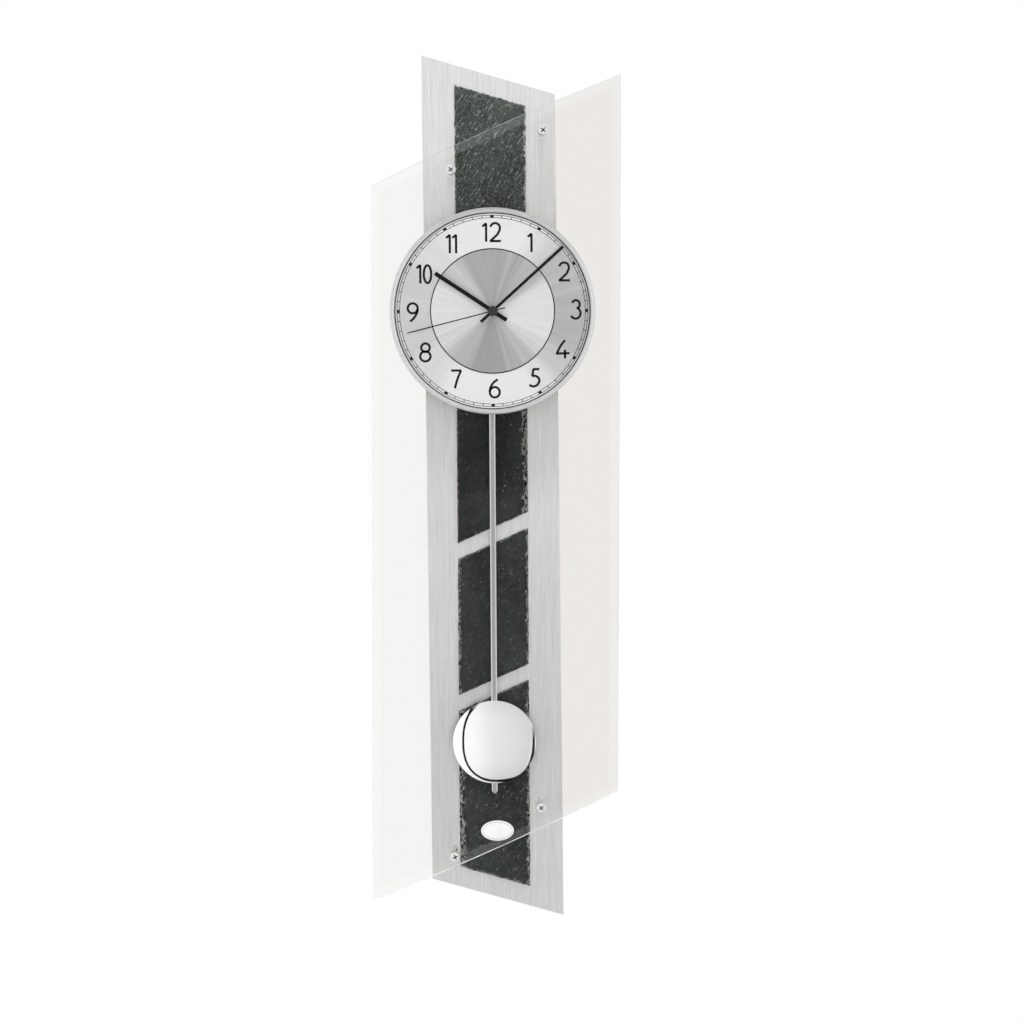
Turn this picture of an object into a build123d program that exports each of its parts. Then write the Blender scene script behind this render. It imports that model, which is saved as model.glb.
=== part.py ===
from build123d import *
import os
from math import asin, cos, pi, radians, sin, tan

# Battery pendulum wall clock: a slate-faced aluminium panel, a bevelled glass sheet held in
# front of it on four standoffs, a round dial on the glass and a pendulum between the two.
# Millimetres. +X right, +Z up, +Y into the wall. The origin is the centre of the keyhole
# that hangs on the wall's screw, on the wall plane.
#
# Shapes are drawn in a front plane whose centre is the dial's centre (x right, z up), and each
# layer is given by its distance from the wall, so larger numbers are nearer the viewer.

# ---- overall places -------------------------------------------------------------------------
KEYHOLE_ABOVE_DIAL = 150.0
BUMPER_FRONT = 1.5
BOARD_FRONT = 12.0
PANEL_FRONT = 14.0
SLATE_FRONT = 19.0
GLASS_BACK = 54.0
GLASS_FRONT = 59.0
RUNNING = 0.05          # radial clearance of a shaft that turns in its hole
LOOSE = 0.1             # radial clearance of a fixed piece in its hole

# ---- sheets ---------------------------------------------------------------------------------
PANEL_WIDTH = 107.8
PANEL_SIDE = 672.5      # length of the long edges
PANEL_SLANT = -16.6     # degrees; the ends fall to the right
PANEL_LEAN = 0.29       # degrees; the whole panel leans left at the top
PANEL_CENTER = (0.6, -145.0)
BOARD_INSET = 4.0

GLASS_WIDTH = 197.6
GLASS_SIDE = 573.4
GLASS_SLANT = 24.2      # degrees; the ends rise to the right
GLASS_LEAN = -0.485
GLASS_CENTER = (1.8, -143.3)
GLASS_BOW = 2.5         # how far the middle of each end stands out
BEVEL_WIDTH = 7.0
BEVEL_DEPTH = 0.4

SERVICE_WIDTH = 68.0    # cut-out behind the movement, to reach battery and setting knob
SERVICE_LOW = -38.0
SERVICE_HIGH = 66.0

# ---- slates: height of the end's middle above the dial centre, and its slant in degrees -------
SLATE_WIDTH = 58.2
SLATE_CHAMFER = 0.8
GAP_SLANT = 23.7
END_SLANT = -16.7
SLATES = {
    "slate_top": {"top": (175.2, END_SLANT), "bottom": (70.0, 0.0)},
    "slate_upper": {"top": (-42.0, 0.0), "bottom": (-176.0, GAP_SLANT)},
    "slate_middle": {"top": (-188.4, GAP_SLANT), "bottom": (-300.9, GAP_SLANT)},
    "slate_lower": {"top": (-313.3, GAP_SLANT), "bottom": (-464.2, END_SLANT)},
}

# ---- glass fixings --------------------------------------------------------------------------
FIXINGS = [(-32.2, 112.1), (41.2, 142.9), (-33.0, -438.4), (36.6, -399.2)]
CROSS_TURNS = (38.0, 52.0, 24.0, 41.0)      # degrees, how far each screw ended up turned
STANDOFF_R = 2.2
STANDOFF_BASE_R = 3.0
STANDOFF_BASE = 1.2
STUD_R = 1.6
STUD_BACK = 4.0
SCREW_R = 1.2
SCREW_BACK = 40.0
SCREW_HEAD_R = 4.0
SCREW_HEAD_HEIGHT = 2.0
SCREW_HEAD_ROUNDING = 1.2
CROSS_LENGTH = 4.6
CROSS_WIDTH = 0.9
CROSS_DEPTH = 1.1
BUSH_R = 2.6
FLANGE_R = 4.0
FLANGE = 1.0
WASHER = 0.5

# ---- keyhole plate and bumpers ----------------------------------------------------------------
KEYHOLE_R = 4.5
KEYHOLE_SLOT_R = 2.2
KEYHOLE_RISE = 12.0
PLATE_WIDTH = 30.0
PLATE_LOW = -14.0
PLATE_HIGH = 24.0
PLATE_CORNER_R = 3.0
PLATE_SCREW_HEIGHT = 19.0
PLATE_SCREW_SIDE = 10.5
PLATE_SCREW_R = 1.1
PLATE_SCREW_HEAD_R = 2.7
PLATE_SCREW_FRONT = 10.0
NAIL_POCKET_FRONT = 7.0
NAIL_POCKET_MARGIN = 1.5
BUMPER_R = 6.0
BUMPER_STEP = 0.6
BUMPER_PLACES = [(-34.0, 165.0), (34.0, 150.0), (-32.0, -440.0), (36.0, -455.0)]

# ---- dial -----------------------------------------------------------------------------------
BEZEL_R = 81.6
BEZEL_INNER_R = 77.65
BEZEL_FRONT = 70.5
CASE_R = 80.4
CASE_WALL_INNER_R = 76.5
CASE_BACK_THICKNESS = 1.5
DIAL_BACK = 66.9
DIAL_FRONT = 68.4
CENTER_R = 49.5
CENTER_FRONT = 68.7
CENTER_HOLE_R = 3.1
BEZEL_BACK = 59.4
BEZEL_EDGE = 0.9        # width of the rounding chamfer on the rim
WASHER_R = 9.0
WASHER_THICKNESS = 0.8
NUT_ACROSS_FLATS = 14.0
NUT_THICKNESS = 2.6
RUBBER_R = 12.0
RIB_INNER_R = 46.5
RIB_OUTER_R = 53.0

# ---- hands: length, tail, width, layer ----------------------------------------------------------
HOUR_HAND = {"length": 54.3, "tail": 13.2, "width": 3.2, "angle": 303.5, "back": 71.4, "front": 72.0}
MINUTE_HAND = {"length": 75.4, "tail": 12.8, "width": 2.3, "angle": 48.0, "back": 73.6, "front": 74.2}
SECOND_HAND = {"length": 69.5, "tail": 10.1, "width": 0.9, "angle": 255.8, "back": 75.8, "front": 76.2}
HOUR_HUB_R = 3.6
MINUTE_HUB_R = 3.2
SECOND_HUB_R = 1.6
CAP_R = 3.9
CAP_FRONT = 78.4

# ---- movement -------------------------------------------------------------------------------
CASE_WIDTH = 60.0
CASE_LOW = -34.0
CASE_HIGH = 60.0
CASE_BACK = 27.0
CASE_SPLIT = 45.8       # the two halves meet here
CASE_FRONT = 53.0
WALL = 1.6
CORNER_R = 3.0
BUSH_OUTER_R = 4.0
BUSH_FRONT = 65.0
BUSH_HOLE_R = 4.3       # hole for the bush in glass and dial pan
HOUR_PIPE_R = 2.6
HOUR_TIP_R = 2.1        # stepped tip that carries the hand
MINUTE_PIPE_R = 1.5
MINUTE_TIP_R = 1.1
MINUTE_PIPE_BACK = 42.6
SECOND_ARBOR_R = 0.5
SECOND_ARBOR_FRONT = 77.2
FIT = 0.02              # radial clearance of a pushed-on piece
SMALL_ARBOR_R = 0.5
MOTION_ARBOR_R = 1.0
BOSS_R = 1.9
BOSS_HEIGHT = 1.2
PIVOT_DEPTH = 1.0

BATTERY_R = 7.25
BATTERY_LENGTH = 49.2
BATTERY_HEIGHT = -22.3
BATTERY_AXIS_OUT = 36.6
BAY_LENGTH = 54.0
BAY_HEIGHT = 17.4
BAY_FRONT = 44.3
BAY_WALL = 1.1
NUB_R = 2.7
NUB_LENGTH = 1.1
CONTACT_SIZE = (0.4, 12.0, 9.0)
CONTACT_STUD_R = 2.0
SPRING_RINGS = 3
SPRING_R = 4.0
SPRING_STEP = 0.8
SPRING_WIRE = 1.2

PCB_PEGS = [(-24.0, 51.0), (24.0, 51.0), (-24.0, 29.0), (24.0, 29.0)]
PEG_R = 1.1
PEG_FOOT_R = 2.0
PCB_WIDTH = 54.0
PCB_HEIGHT = 27.0
PCB_MIDDLE = 40.0
PCB_BACK = 47.0
PCB_FRONT = 48.0
CHIP_CENTER = (-8.0, 42.0)
CHIP_SIZE = (9.0, 6.0)
CHIP_THICKNESS = 1.6
CRYSTAL_START = (8.0, 45.85, 45.0)
CRYSTAL_R = 1.1
CRYSTAL_LENGTH = 6.2

# Stepping motor: a flat frame with the rotor's hole in its low bar and the coil on its top bar.
STATOR_LAYER = (31.5, 32.9)
STATOR_LEFT = -10.5
STATOR_RIGHT = 28.0
STATOR_HIGH = 34.0
STATOR_BAR = 4.0
STATOR_MARGIN = 4.6     # iron above and below the rotor's axis
WINDOW_LEFT = 2.0
WINDOW_RIGHT = 24.5
ROTOR_HOLE_R = 3.2
COIL_LEFT = 7.5
COIL_RIGHT = 22.5
BOBBIN_WALL = 0.5
BOBBIN_FLANGE = (0.8, 6.0, 7.4)
WINDING_HEIGHT = (5.4, 6.8)

# Gear layout: teeth, centre distances and directions; each module follows from its distance.
MOTION_TEETH = {"cannon": 12, "motion": 36, "motion_pinion": 10, "hour": 40}
MOTION_DISTANCE = 14.4
MOTION_DIRECTION = 15.0
THIRD_TEETH = {"center": 64, "pinion": 8, "third": 60, "second_pinion": 8}
THIRD_DISTANCE = 13.6
THIRD_DIRECTION = 180.0
FAST_TEETH = {"second": 60, "pinion": 10, "intermediate": 60, "rotor": 12}
FAST_DISTANCE = 14.0
FAST_DIRECTION = 90.0
ROTOR_DISTANCE = 9.0
ROTOR_DIRECTION = 120.0
DIAL_AXIS = (0.0, 0.0)

# Each toothed layer of the train: (back, front) distances from the wall.
CANNON_LAYER = (46.8, 48.6)
MOTION_LAYER = (47.2, 48.4)
MOTION_PINION_LAYER = (48.4, 50.9)
HOUR_LAYER = (49.4, 50.6)
CENTER_LAYER = (43.5, 44.6)
THIRD_LAYER = (40.0, 41.0)
THIRD_PINION_LAYER = (41.0, 45.0)
SECOND_LAYER = (37.0, 38.0)
SECOND_PINION_LAYER = (39.4, 41.6)
FAST_PINION_LAYER = (35.0, 38.4)
FAST_LAYER = (34.0, 35.0)
ROTOR_PINION_LAYER = (33.8, 35.3)
ROTOR_MAGNET_LAYER = (31.2, 33.2)
ROTOR_MAGNET_R = 2.6
CLUTCH_COLLAR_R = 2.3
CLUTCH_COLLAR_FRONT = 43.4

KNOB_R = 5.0
KNOB_BACK = 21.8
KNOB_FRONT = 26.5
KNOB_SEAT = 24.5        # how far its arbor reaches in
KNOB_RIDGES = 18
KNOB_RIDGE_R = 0.5

# ---- pendulum -------------------------------------------------------------------------------
PIVOT_HEIGHT = 54.0
PIVOT_R = 1.0
HANGER_BACK = 23.5
HANGER_FRONT = 25.0
HANGER_WIDTH = 5.0
HANGER_EYE_R = 4.0
HANGER_LOW = -42.0
SIDE_PLAY = 0.3         # play of the hanger between collar and clip
PIVOT_BACK = 22.2
PIVOT_FRONT = 30.0
PIVOT_COLLAR_R = 2.5
HOOK_HEIGHT = -37.0
HOOK_WIDTH = 2.0
HOOK_WIRE = 1.2
HOOK_TAIL = 4.0
HOOK_OVERLAP = 8.0
ROD_FRONT = 25.2
ROD_CHAMFER = 0.9
ROD_WIDTH = 4.7
ROD_TOP = -48.0
ROD_TIP = -393.0
ROD_POINT = 2.2
BOB_HEIGHT = -350.6
BOB_R = 34.0
BOB_BACK = 25.2
BOB_FRONT = 34.0
BOB_SHELL = 0.8
BOB_PLATE = 0.7
CLIP_WIDTH = 11.0
CLIP_HEIGHT = 22.0
CLIP_BACK = 22.3

DRIVE_HEIGHT = 43.0     # magnet and coil that keep the pendulum swinging
DRIVE_COIL_R = 5.6
DRIVE_COIL_FRONT = 33.5
DRIVE_CORE_R = 1.5
DRIVE_MAGNET_R = 3.2
DRIVE_MAGNET_THICKNESS = 1.4

# ---- oval badge -------------------------------------------------------------------------------
BADGE_CENTER = (1.2, -417.5)
BADGE_WIDTH = 26.4
BADGE_HEIGHT = 16.4
BADGE_THICKNESS = 0.6

FRONT_PLANE = Plane(origin=(0, 0, -KEYHOLE_ABOVE_DIAL), x_dir=(1, 0, 0), z_dir=(0, -1, 0))
os.makedirs("parts", exist_ok=True)


# ---- helpers --------------------------------------------------------------------------------
def layer(face, back, front):
    """The face as a plate between two distances from the wall."""
    return extrude(FRONT_PLANE.offset(back) * face, amount=front - back)


def disc(center, radius, back, front):
    return layer(Pos(*center) * Circle(radius), back, front)


def tube(center, outer, inner, back, front):
    return layer(Pos(*center) * (Circle(outer) - Circle(inner)), back, front)


def cone(center, back_radius, front_radius, back, front):
    low = FRONT_PLANE.offset(back) * Pos(*center) * Circle(back_radius)
    high = FRONT_PLANE.offset(front) * Pos(*center) * Circle(front_radius)
    return loft([low, high])


def cross_slot(center, length, width, back, front, turn=0.0):
    """The recess of a cross-head screw, turned by some degrees."""
    cross = Rectangle(length, width) + Rectangle(width, length)
    return layer(Pos(*center) * (Rot(Z=turn) * cross), back, front)


def along_x(start, radius, length):
    """A round bar that runs towards +X from (x, distance from the wall, height above the dial)."""
    x, out, height = start
    plane = Plane(origin=(x, -out, height - KEYHOLE_ABOVE_DIAL), x_dir=(0, 1, 0), z_dir=(1, 0, 0))
    return extrude(plane * Circle(radius), amount=length)


def block(center, size):
    """A box about (x, distance from the wall, height above the dial)."""
    x, out, height = center
    return Pos(x, -out, height - KEYHOLE_ABOVE_DIAL) * Box(*size)


def turned(profile):
    """A ring about the dial axis from (radius, distance from the wall) points."""
    points = [Vector(radius, -out, -KEYHOLE_ABOVE_DIAL) for radius, out in profile]
    axis = Axis((0, 0, -KEYHOLE_ABOVE_DIAL), (0, 1, 0))
    return revolve(make_face(Polyline(*points, close=True)), axis)


def step_from(start, distance, direction):
    """A point at a distance and an angle, anticlockwise from +X."""
    angle = radians(direction)
    return (start[0] + distance * cos(angle), start[1] + distance * sin(angle))


def save(node, *solids):
    """Write one node, from one solid or a group of separate ones."""
    shape = solids[0] if len(solids) == 1 else Compound(children=[Part() + solid for solid in solids])
    shape.label = node
    export_step(shape, "parts/" + node + ".step")


def slanted_sheet(width, side, slant, inset=0.0, bow=0.0):
    """An upright parallelogram about its centre, whose ends slant and may bow outwards."""
    rise = tan(radians(slant))
    half_width = width / 2 - inset
    half_side = side / 2 - inset / cos(radians(slant))
    top_left = (-half_width, half_side - half_width * rise)
    top_right = (half_width, half_side + half_width * rise)
    bottom_right = (half_width, -half_side + half_width * rise)
    bottom_left = (-half_width, -half_side - half_width * rise)
    if not bow:
        return make_face(Polyline(top_left, top_right, bottom_right, bottom_left, close=True))
    top_middle = (-bow * sin(radians(slant)), half_side + bow * cos(radians(slant)))
    bottom_middle = (bow * sin(radians(slant)), -half_side - bow * cos(radians(slant)))
    edges = [
        ThreePointArc(top_left, top_middle, top_right),
        Line(top_right, bottom_right),
        ThreePointArc(bottom_right, bottom_middle, bottom_left),
        Line(bottom_left, top_left),
    ]
    return make_face(edges)


def tooth_points(teeth, module, radius_factor, share, middle):
    """The two points of one tooth at one radius; share is the tooth's part of the pitch."""
    radius = module * (teeth / 2 + radius_factor)
    half = share * pi / teeth
    return [(radius, middle - half), (radius, middle + half)]


def gear_face(teeth, module, phase=0.0):
    """A fine-toothed wheel; phase is the angle of its first tooth, anticlockwise from +X."""
    tip, pitch, root = 0.7, 0.0, -1.0
    points = []
    for number in range(teeth):
        middle = radians(phase) + 2 * pi * number / teeth
        low_root, high_root = tooth_points(teeth, module, root, 0.46, middle)
        low_pitch, high_pitch = tooth_points(teeth, module, pitch, 0.34, middle)
        low_tip, high_tip = tooth_points(teeth, module, tip, 0.14, middle)
        points += [low_root, low_pitch, low_tip, high_tip, high_pitch, high_root]
    corners = [(radius * cos(angle), radius * sin(angle)) for radius, angle in points]
    return make_face(Polyline(*corners, close=True))


def gear(center, teeth, module, back, front, phase=0.0, bore=0.0):
    face = gear_face(teeth, module, phase)
    if bore:
        face -= Circle(bore)
    return layer(Pos(*center) * face, back, front)


def mesh_phase(teeth, direction, other_teeth, other_phase):
    """Phase that puts a gap of this wheel over a tooth of the other one.

    direction is the angle from this wheel's centre to the other's, in degrees.
    """
    other_pitch = 360 / other_teeth
    offset = (direction + 180 - other_phase) / other_pitch
    past_tooth = (offset - round(offset)) * other_pitch
    return direction + past_tooth * other_teeth / teeth + 180 / teeth


# ---- carrier --------------------------------------------------------------------------------
def place_sheet(face, center, lean):
    return Pos(*center) * Rot(0, 0, lean) * face


def service_face():
    middle = (SERVICE_LOW + SERVICE_HIGH) / 2
    return Pos(0, middle) * Rectangle(SERVICE_WIDTH, SERVICE_HIGH - SERVICE_LOW)


def keyhole_face(grow=0.0):
    """Round hole with a slot above it, for the wall's screw."""
    slot_r = KEYHOLE_SLOT_R + grow
    slot = Pos(0, KEYHOLE_RISE / 2) * Rectangle(2 * slot_r, KEYHOLE_RISE)
    slot_end = Pos(0, KEYHOLE_RISE) * Circle(slot_r)
    return Pos(0, KEYHOLE_ABOVE_DIAL) * (Circle(KEYHOLE_R + grow) + slot + slot_end)


def plate_screw_places():
    height = KEYHOLE_ABOVE_DIAL + PLATE_SCREW_HEIGHT
    return [(-PLATE_SCREW_SIDE, height), (PLATE_SCREW_SIDE, height)]


def panel_face(inset=0.0):
    outline = slanted_sheet(PANEL_WIDTH, PANEL_SIDE, PANEL_SLANT, inset)
    return place_sheet(outline, PANEL_CENTER, PANEL_LEAN) - service_face()


def make_carrier():
    """Aluminium panel and the smaller board behind it, both open behind the movement."""
    panel = layer(panel_face(), BOARD_FRONT, PANEL_FRONT)
    board = layer(panel_face(BOARD_INSET), BUMPER_FRONT, BOARD_FRONT)
    for place in FIXINGS:
        panel -= disc(place, STUD_R + LOOSE, BOARD_FRONT, PANEL_FRONT)
        board -= disc(place, STUD_R + LOOSE, STUD_BACK - 1, BOARD_FRONT)
    board -= layer(keyhole_face(NAIL_POCKET_MARGIN), BUMPER_FRONT, NAIL_POCKET_FRONT)
    for place in plate_screw_places():
        board -= disc(place, PLATE_SCREW_R + LOOSE, BUMPER_FRONT, PLATE_SCREW_FRONT + 0.5)
    save("back_panel", panel)
    save("wall_board", board)


def make_hanger_plate():
    """Keyhole plate with two countersunk wood screws, whose heads face the wall."""
    height = PLATE_HIGH - PLATE_LOW
    middle = KEYHOLE_ABOVE_DIAL + (PLATE_HIGH + PLATE_LOW) / 2
    blank = Pos(0, middle) * RectangleRounded(PLATE_WIDTH, height, PLATE_CORNER_R)
    plate = layer(blank - keyhole_face(), 0, BUMPER_FRONT)
    sink = 0.2              # clearance between a screw's head and its countersink
    head_front = BUMPER_FRONT - 0.3
    hole_r = PLATE_SCREW_R + 0.5
    screws = []
    for place in plate_screw_places():
        plate -= disc(place, hole_r, 0, BUMPER_FRONT)
        plate -= cone(place, PLATE_SCREW_HEAD_R + sink, hole_r, 0, BUMPER_FRONT - sink)
        screw = disc(place, PLATE_SCREW_R, head_front, PLATE_SCREW_FRONT)
        screw += cone(place, PLATE_SCREW_HEAD_R, PLATE_SCREW_R, 0.1, head_front)
        screws.append(screw - cross_slot(place, PLATE_SCREW_HEAD_R, 0.6, 0, 0.8))
    save("hanger_plate", plate)
    save("hanger_screws", *screws)


def make_bumpers():
    pads = []
    step_out = BUMPER_STEP
    for place in BUMPER_PLACES:
        pad = disc(place, BUMPER_R, step_out, BUMPER_FRONT)
        pads.append(pad + disc(place, BUMPER_R - BUMPER_STEP, 0, step_out))
    save("wall_bumpers", *pads)


def slate_face(top, bottom):
    half = SLATE_WIDTH / 2
    corners = []
    for (height, slant), sides in ((top, (-half, half)), (bottom, (half, -half))):
        corners += [(x, height + x * tan(radians(slant))) for x in sides]
    return make_face(Polyline(*corners, close=True))


def make_slates():
    for node, ends in SLATES.items():
        slab = layer(slate_face(ends["top"], ends["bottom"]), PANEL_FRONT, SLATE_FRONT)
        front = slab.faces().sort_by(Axis.Y)[0]
        save(node, chamfer(front.edges(), SLATE_CHAMFER))


# ---- front sheet ----------------------------------------------------------------------------
def glass_face(inset):
    outline = slanted_sheet(GLASS_WIDTH, GLASS_SIDE, GLASS_SLANT, inset, GLASS_BOW)
    return place_sheet(outline, GLASS_CENTER, GLASS_LEAN)


def make_front_glass():
    """A sheet whose front edge is ground to a wide flat bevel all round."""
    bevel_back = GLASS_FRONT - BEVEL_DEPTH
    outer = FRONT_PLANE.offset(bevel_back) * glass_face(0)
    inner = FRONT_PLANE.offset(GLASS_FRONT) * glass_face(BEVEL_WIDTH)
    glass = layer(glass_face(0), GLASS_BACK, bevel_back) + loft([outer, inner], ruled=True)
    for place in FIXINGS:
        glass -= disc(place, BUSH_R + LOOSE, GLASS_BACK, GLASS_FRONT)
    glass -= disc((0, 0), BUSH_HOLE_R, GLASS_BACK, GLASS_FRONT)
    save("front_glass", glass)


def make_glass_fixings():
    """At each fixing: standoff on a stud, flanged sleeve in the glass, washer and screw."""
    standoffs, bushes, washers, screws = [], [], [], []
    bush_back = GLASS_BACK - FLANGE
    head_back = GLASS_FRONT + WASHER
    head_front = head_back + SCREW_HEAD_HEIGHT
    for place, turn in zip(FIXINGS, CROSS_TURNS):
        standoff = disc(place, STANDOFF_R, PANEL_FRONT, bush_back)
        standoff += disc(place, STANDOFF_BASE_R, PANEL_FRONT, PANEL_FRONT + STANDOFF_BASE)
        standoff += disc(place, STUD_R, STUD_BACK, PANEL_FRONT)
        standoffs.append(standoff - disc(place, SCREW_R + RUNNING, SCREW_BACK - 2, bush_back))
        bush = disc(place, FLANGE_R, bush_back, GLASS_BACK)
        bush += disc(place, BUSH_R, GLASS_BACK, GLASS_FRONT)
        bushes.append(bush - disc(place, SCREW_R + LOOSE, bush_back, GLASS_FRONT))
        washers.append(tube(place, SCREW_HEAD_R + 0.2, SCREW_R + LOOSE, GLASS_FRONT, head_back))
        head = disc(place, SCREW_HEAD_R, head_back, head_front)
        head = fillet(head.faces().sort_by(Axis.Y)[0].edges(), SCREW_HEAD_ROUNDING)
        head -= cross_slot(place, CROSS_LENGTH, CROSS_WIDTH, head_front - CROSS_DEPTH, head_front, turn)
        screws.append(head + disc(place, SCREW_R, SCREW_BACK, head_back))
    save("standoffs", *standoffs)
    save("glass_bushes", *bushes)
    save("glass_washers", *washers)
    save("glass_screws", *screws)


def make_badge():
    oval = Pos(*BADGE_CENTER) * Ellipse(BADGE_WIDTH / 2, BADGE_HEIGHT / 2)
    save("oval_badge", layer(oval, GLASS_FRONT, GLASS_FRONT + BADGE_THICKNESS))


# ---- dial -----------------------------------------------------------------------------------
def make_dial():
    floor = GLASS_FRONT + CASE_BACK_THICKNESS
    case = tube((0, 0), CASE_R, BUSH_HOLE_R, GLASS_FRONT, floor)
    case += tube((0, 0), CASE_R, CASE_WALL_INNER_R, floor, DIAL_BACK)
    case += tube((0, 0), RIB_OUTER_R, RIB_INNER_R, floor, DIAL_BACK)
    save("dial_case", case)
    small_edge = BEZEL_EDGE / 2
    bezel = turned([
        (CASE_R + LOOSE, BEZEL_BACK),
        (BEZEL_R - small_edge, BEZEL_BACK),
        (BEZEL_R, BEZEL_BACK + small_edge),
        (BEZEL_R, BEZEL_FRONT - BEZEL_EDGE),
        (BEZEL_R - BEZEL_EDGE, BEZEL_FRONT),
        (BEZEL_INNER_R + small_edge, BEZEL_FRONT),
        (BEZEL_INNER_R, BEZEL_FRONT - BEZEL_EDGE),
        (BEZEL_INNER_R, DIAL_FRONT),
        (CASE_R + LOOSE, DIAL_FRONT),
    ])
    save("bezel_ring", bezel)
    save("chapter_ring", tube((0, 0), CASE_R - LOOSE, CENTER_R + LOOSE, DIAL_BACK, DIAL_FRONT))
    save("center_disc", tube((0, 0), CENTER_R, CENTER_HOLE_R, DIAL_BACK, CENTER_FRONT))


def make_center_fixing():
    """Nut and washer inside the dial pan, and the soft washer between movement and glass."""
    hole_r = BUSH_OUTER_R + LOOSE
    washer_back = GLASS_FRONT + CASE_BACK_THICKNESS
    nut_back = washer_back + WASHER_THICKNESS
    save("fixing_washer", tube((0, 0), WASHER_R, hole_r, washer_back, nut_back))
    nut_face = RegularPolygon(NUT_ACROSS_FLATS / 2, 6, major_radius=False) - Circle(hole_r)
    save("fixing_nut", layer(nut_face, nut_back, nut_back + NUT_THICKNESS))
    save("rubber_washer", tube((0, 0), RUBBER_R, hole_r, CASE_FRONT, GLASS_BACK))


# ---- hands ----------------------------------------------------------------------------------
def hand_face(hand, hub_r, bore):
    """A flat baton with a short tail and a round hub, pointing at its rest angle."""
    length = hand["length"] + hand["tail"]
    baton = Pos(0, (hand["length"] - hand["tail"]) / 2) * Rectangle(hand["width"], length)
    return Rot(0, 0, -hand["angle"]) * (baton + Circle(hub_r) - Circle(bore))


def make_hands():
    hour = hand_face(HOUR_HAND, HOUR_HUB_R, HOUR_TIP_R + FIT)
    save("hour_hand", layer(hour, HOUR_HAND["back"], HOUR_HAND["front"]))
    minute = hand_face(MINUTE_HAND, MINUTE_HUB_R, MINUTE_TIP_R + FIT)
    save("minute_hand", layer(minute, MINUTE_HAND["back"], MINUTE_HAND["front"]))
    second = hand_face(SECOND_HAND, SECOND_HUB_R, SECOND_ARBOR_R + FIT)
    save("second_hand", layer(second, SECOND_HAND["back"], SECOND_HAND["front"]))
    bore = SECOND_ARBOR_R + FIT
    cap = turned([
        (bore, SECOND_HAND["front"]),
        (CAP_R, SECOND_HAND["front"]),
        (CAP_R, CAP_FRONT - 1.0),
        (CAP_R - 0.9, CAP_FRONT - 0.2),
        (CAP_R - 2.0, CAP_FRONT),
        (0, CAP_FRONT),
        (0, SECOND_ARBOR_FRONT),
        (bore, SECOND_ARBOR_FRONT),
    ])
    save("hand_cap", cap)


# ---- gear train -----------------------------------------------------------------------------
MOTION_AXIS = step_from(DIAL_AXIS, MOTION_DISTANCE, MOTION_DIRECTION)
THIRD_AXIS = step_from(DIAL_AXIS, THIRD_DISTANCE, THIRD_DIRECTION)
INTERMEDIATE_AXIS = step_from(DIAL_AXIS, FAST_DISTANCE, FAST_DIRECTION)
ROTOR_AXIS = step_from(INTERMEDIATE_AXIS, ROTOR_DISTANCE, ROTOR_DIRECTION)
ARBOR_BACK = CASE_BACK + WALL / 2
ARBOR_FRONT = CASE_FRONT - WALL / 2 + 0.1


def module_for(distance, teeth, other_teeth):
    return 2 * distance / (teeth + other_teeth)


def make_motion_work():
    """Cannon pinion, motion wheel with the setting knob, and hour wheel: 12 to 1."""
    teeth = MOTION_TEETH
    first = module_for(MOTION_DISTANCE, teeth["cannon"], teeth["motion"])
    second = module_for(MOTION_DISTANCE, teeth["motion_pinion"], teeth["hour"])
    inner = SECOND_ARBOR_R + RUNNING

    step = MINUTE_HAND["back"]
    cannon = gear(DIAL_AXIS, teeth["cannon"], first, *CANNON_LAYER, 0, inner)
    cannon += tube(DIAL_AXIS, MINUTE_PIPE_R, inner, MINUTE_PIPE_BACK, step)
    cannon += tube(DIAL_AXIS, MINUTE_TIP_R, inner, step, MINUTE_HAND["front"])
    cannon += tube(DIAL_AXIS, CLUTCH_COLLAR_R, inner, MINUTE_PIPE_BACK, CLUTCH_COLLAR_FRONT)
    save("cannon_pinion", cannon)

    back_to_dial = MOTION_DIRECTION + 180
    motion_phase = mesh_phase(teeth["motion"], back_to_dial, teeth["cannon"], 0)
    motion = gear(MOTION_AXIS, teeth["motion"], first, *MOTION_LAYER, motion_phase)
    motion += gear(MOTION_AXIS, teeth["motion_pinion"], second, *MOTION_PINION_LAYER, motion_phase)
    motion += disc(MOTION_AXIS, MOTION_ARBOR_R, KNOB_SEAT, ARBOR_FRONT)
    save("motion_wheel", motion)

    hour_phase = mesh_phase(teeth["hour"], MOTION_DIRECTION, teeth["motion_pinion"], motion_phase)
    bore = MINUTE_PIPE_R + RUNNING
    hour = gear(DIAL_AXIS, teeth["hour"], second, *HOUR_LAYER, hour_phase, bore)
    hour += tube(DIAL_AXIS, HOUR_PIPE_R, bore, HOUR_LAYER[1], HOUR_HAND["back"])
    hour += tube(DIAL_AXIS, HOUR_TIP_R, bore, HOUR_HAND["back"], HOUR_HAND["front"])
    save("hour_wheel", hour)

    knob = disc(MOTION_AXIS, KNOB_R - KNOB_RIDGE_R, KNOB_BACK, KNOB_FRONT)
    for number in range(KNOB_RIDGES):
        place = step_from(MOTION_AXIS, KNOB_R - KNOB_RIDGE_R - 0.1, 360 * number / KNOB_RIDGES)
        knob += disc(place, KNOB_RIDGE_R, KNOB_BACK + 0.4, KNOB_FRONT)
    save("setting_knob", knob - disc(MOTION_AXIS, MOTION_ARBOR_R + FIT, KNOB_SEAT, KNOB_FRONT))


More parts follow.
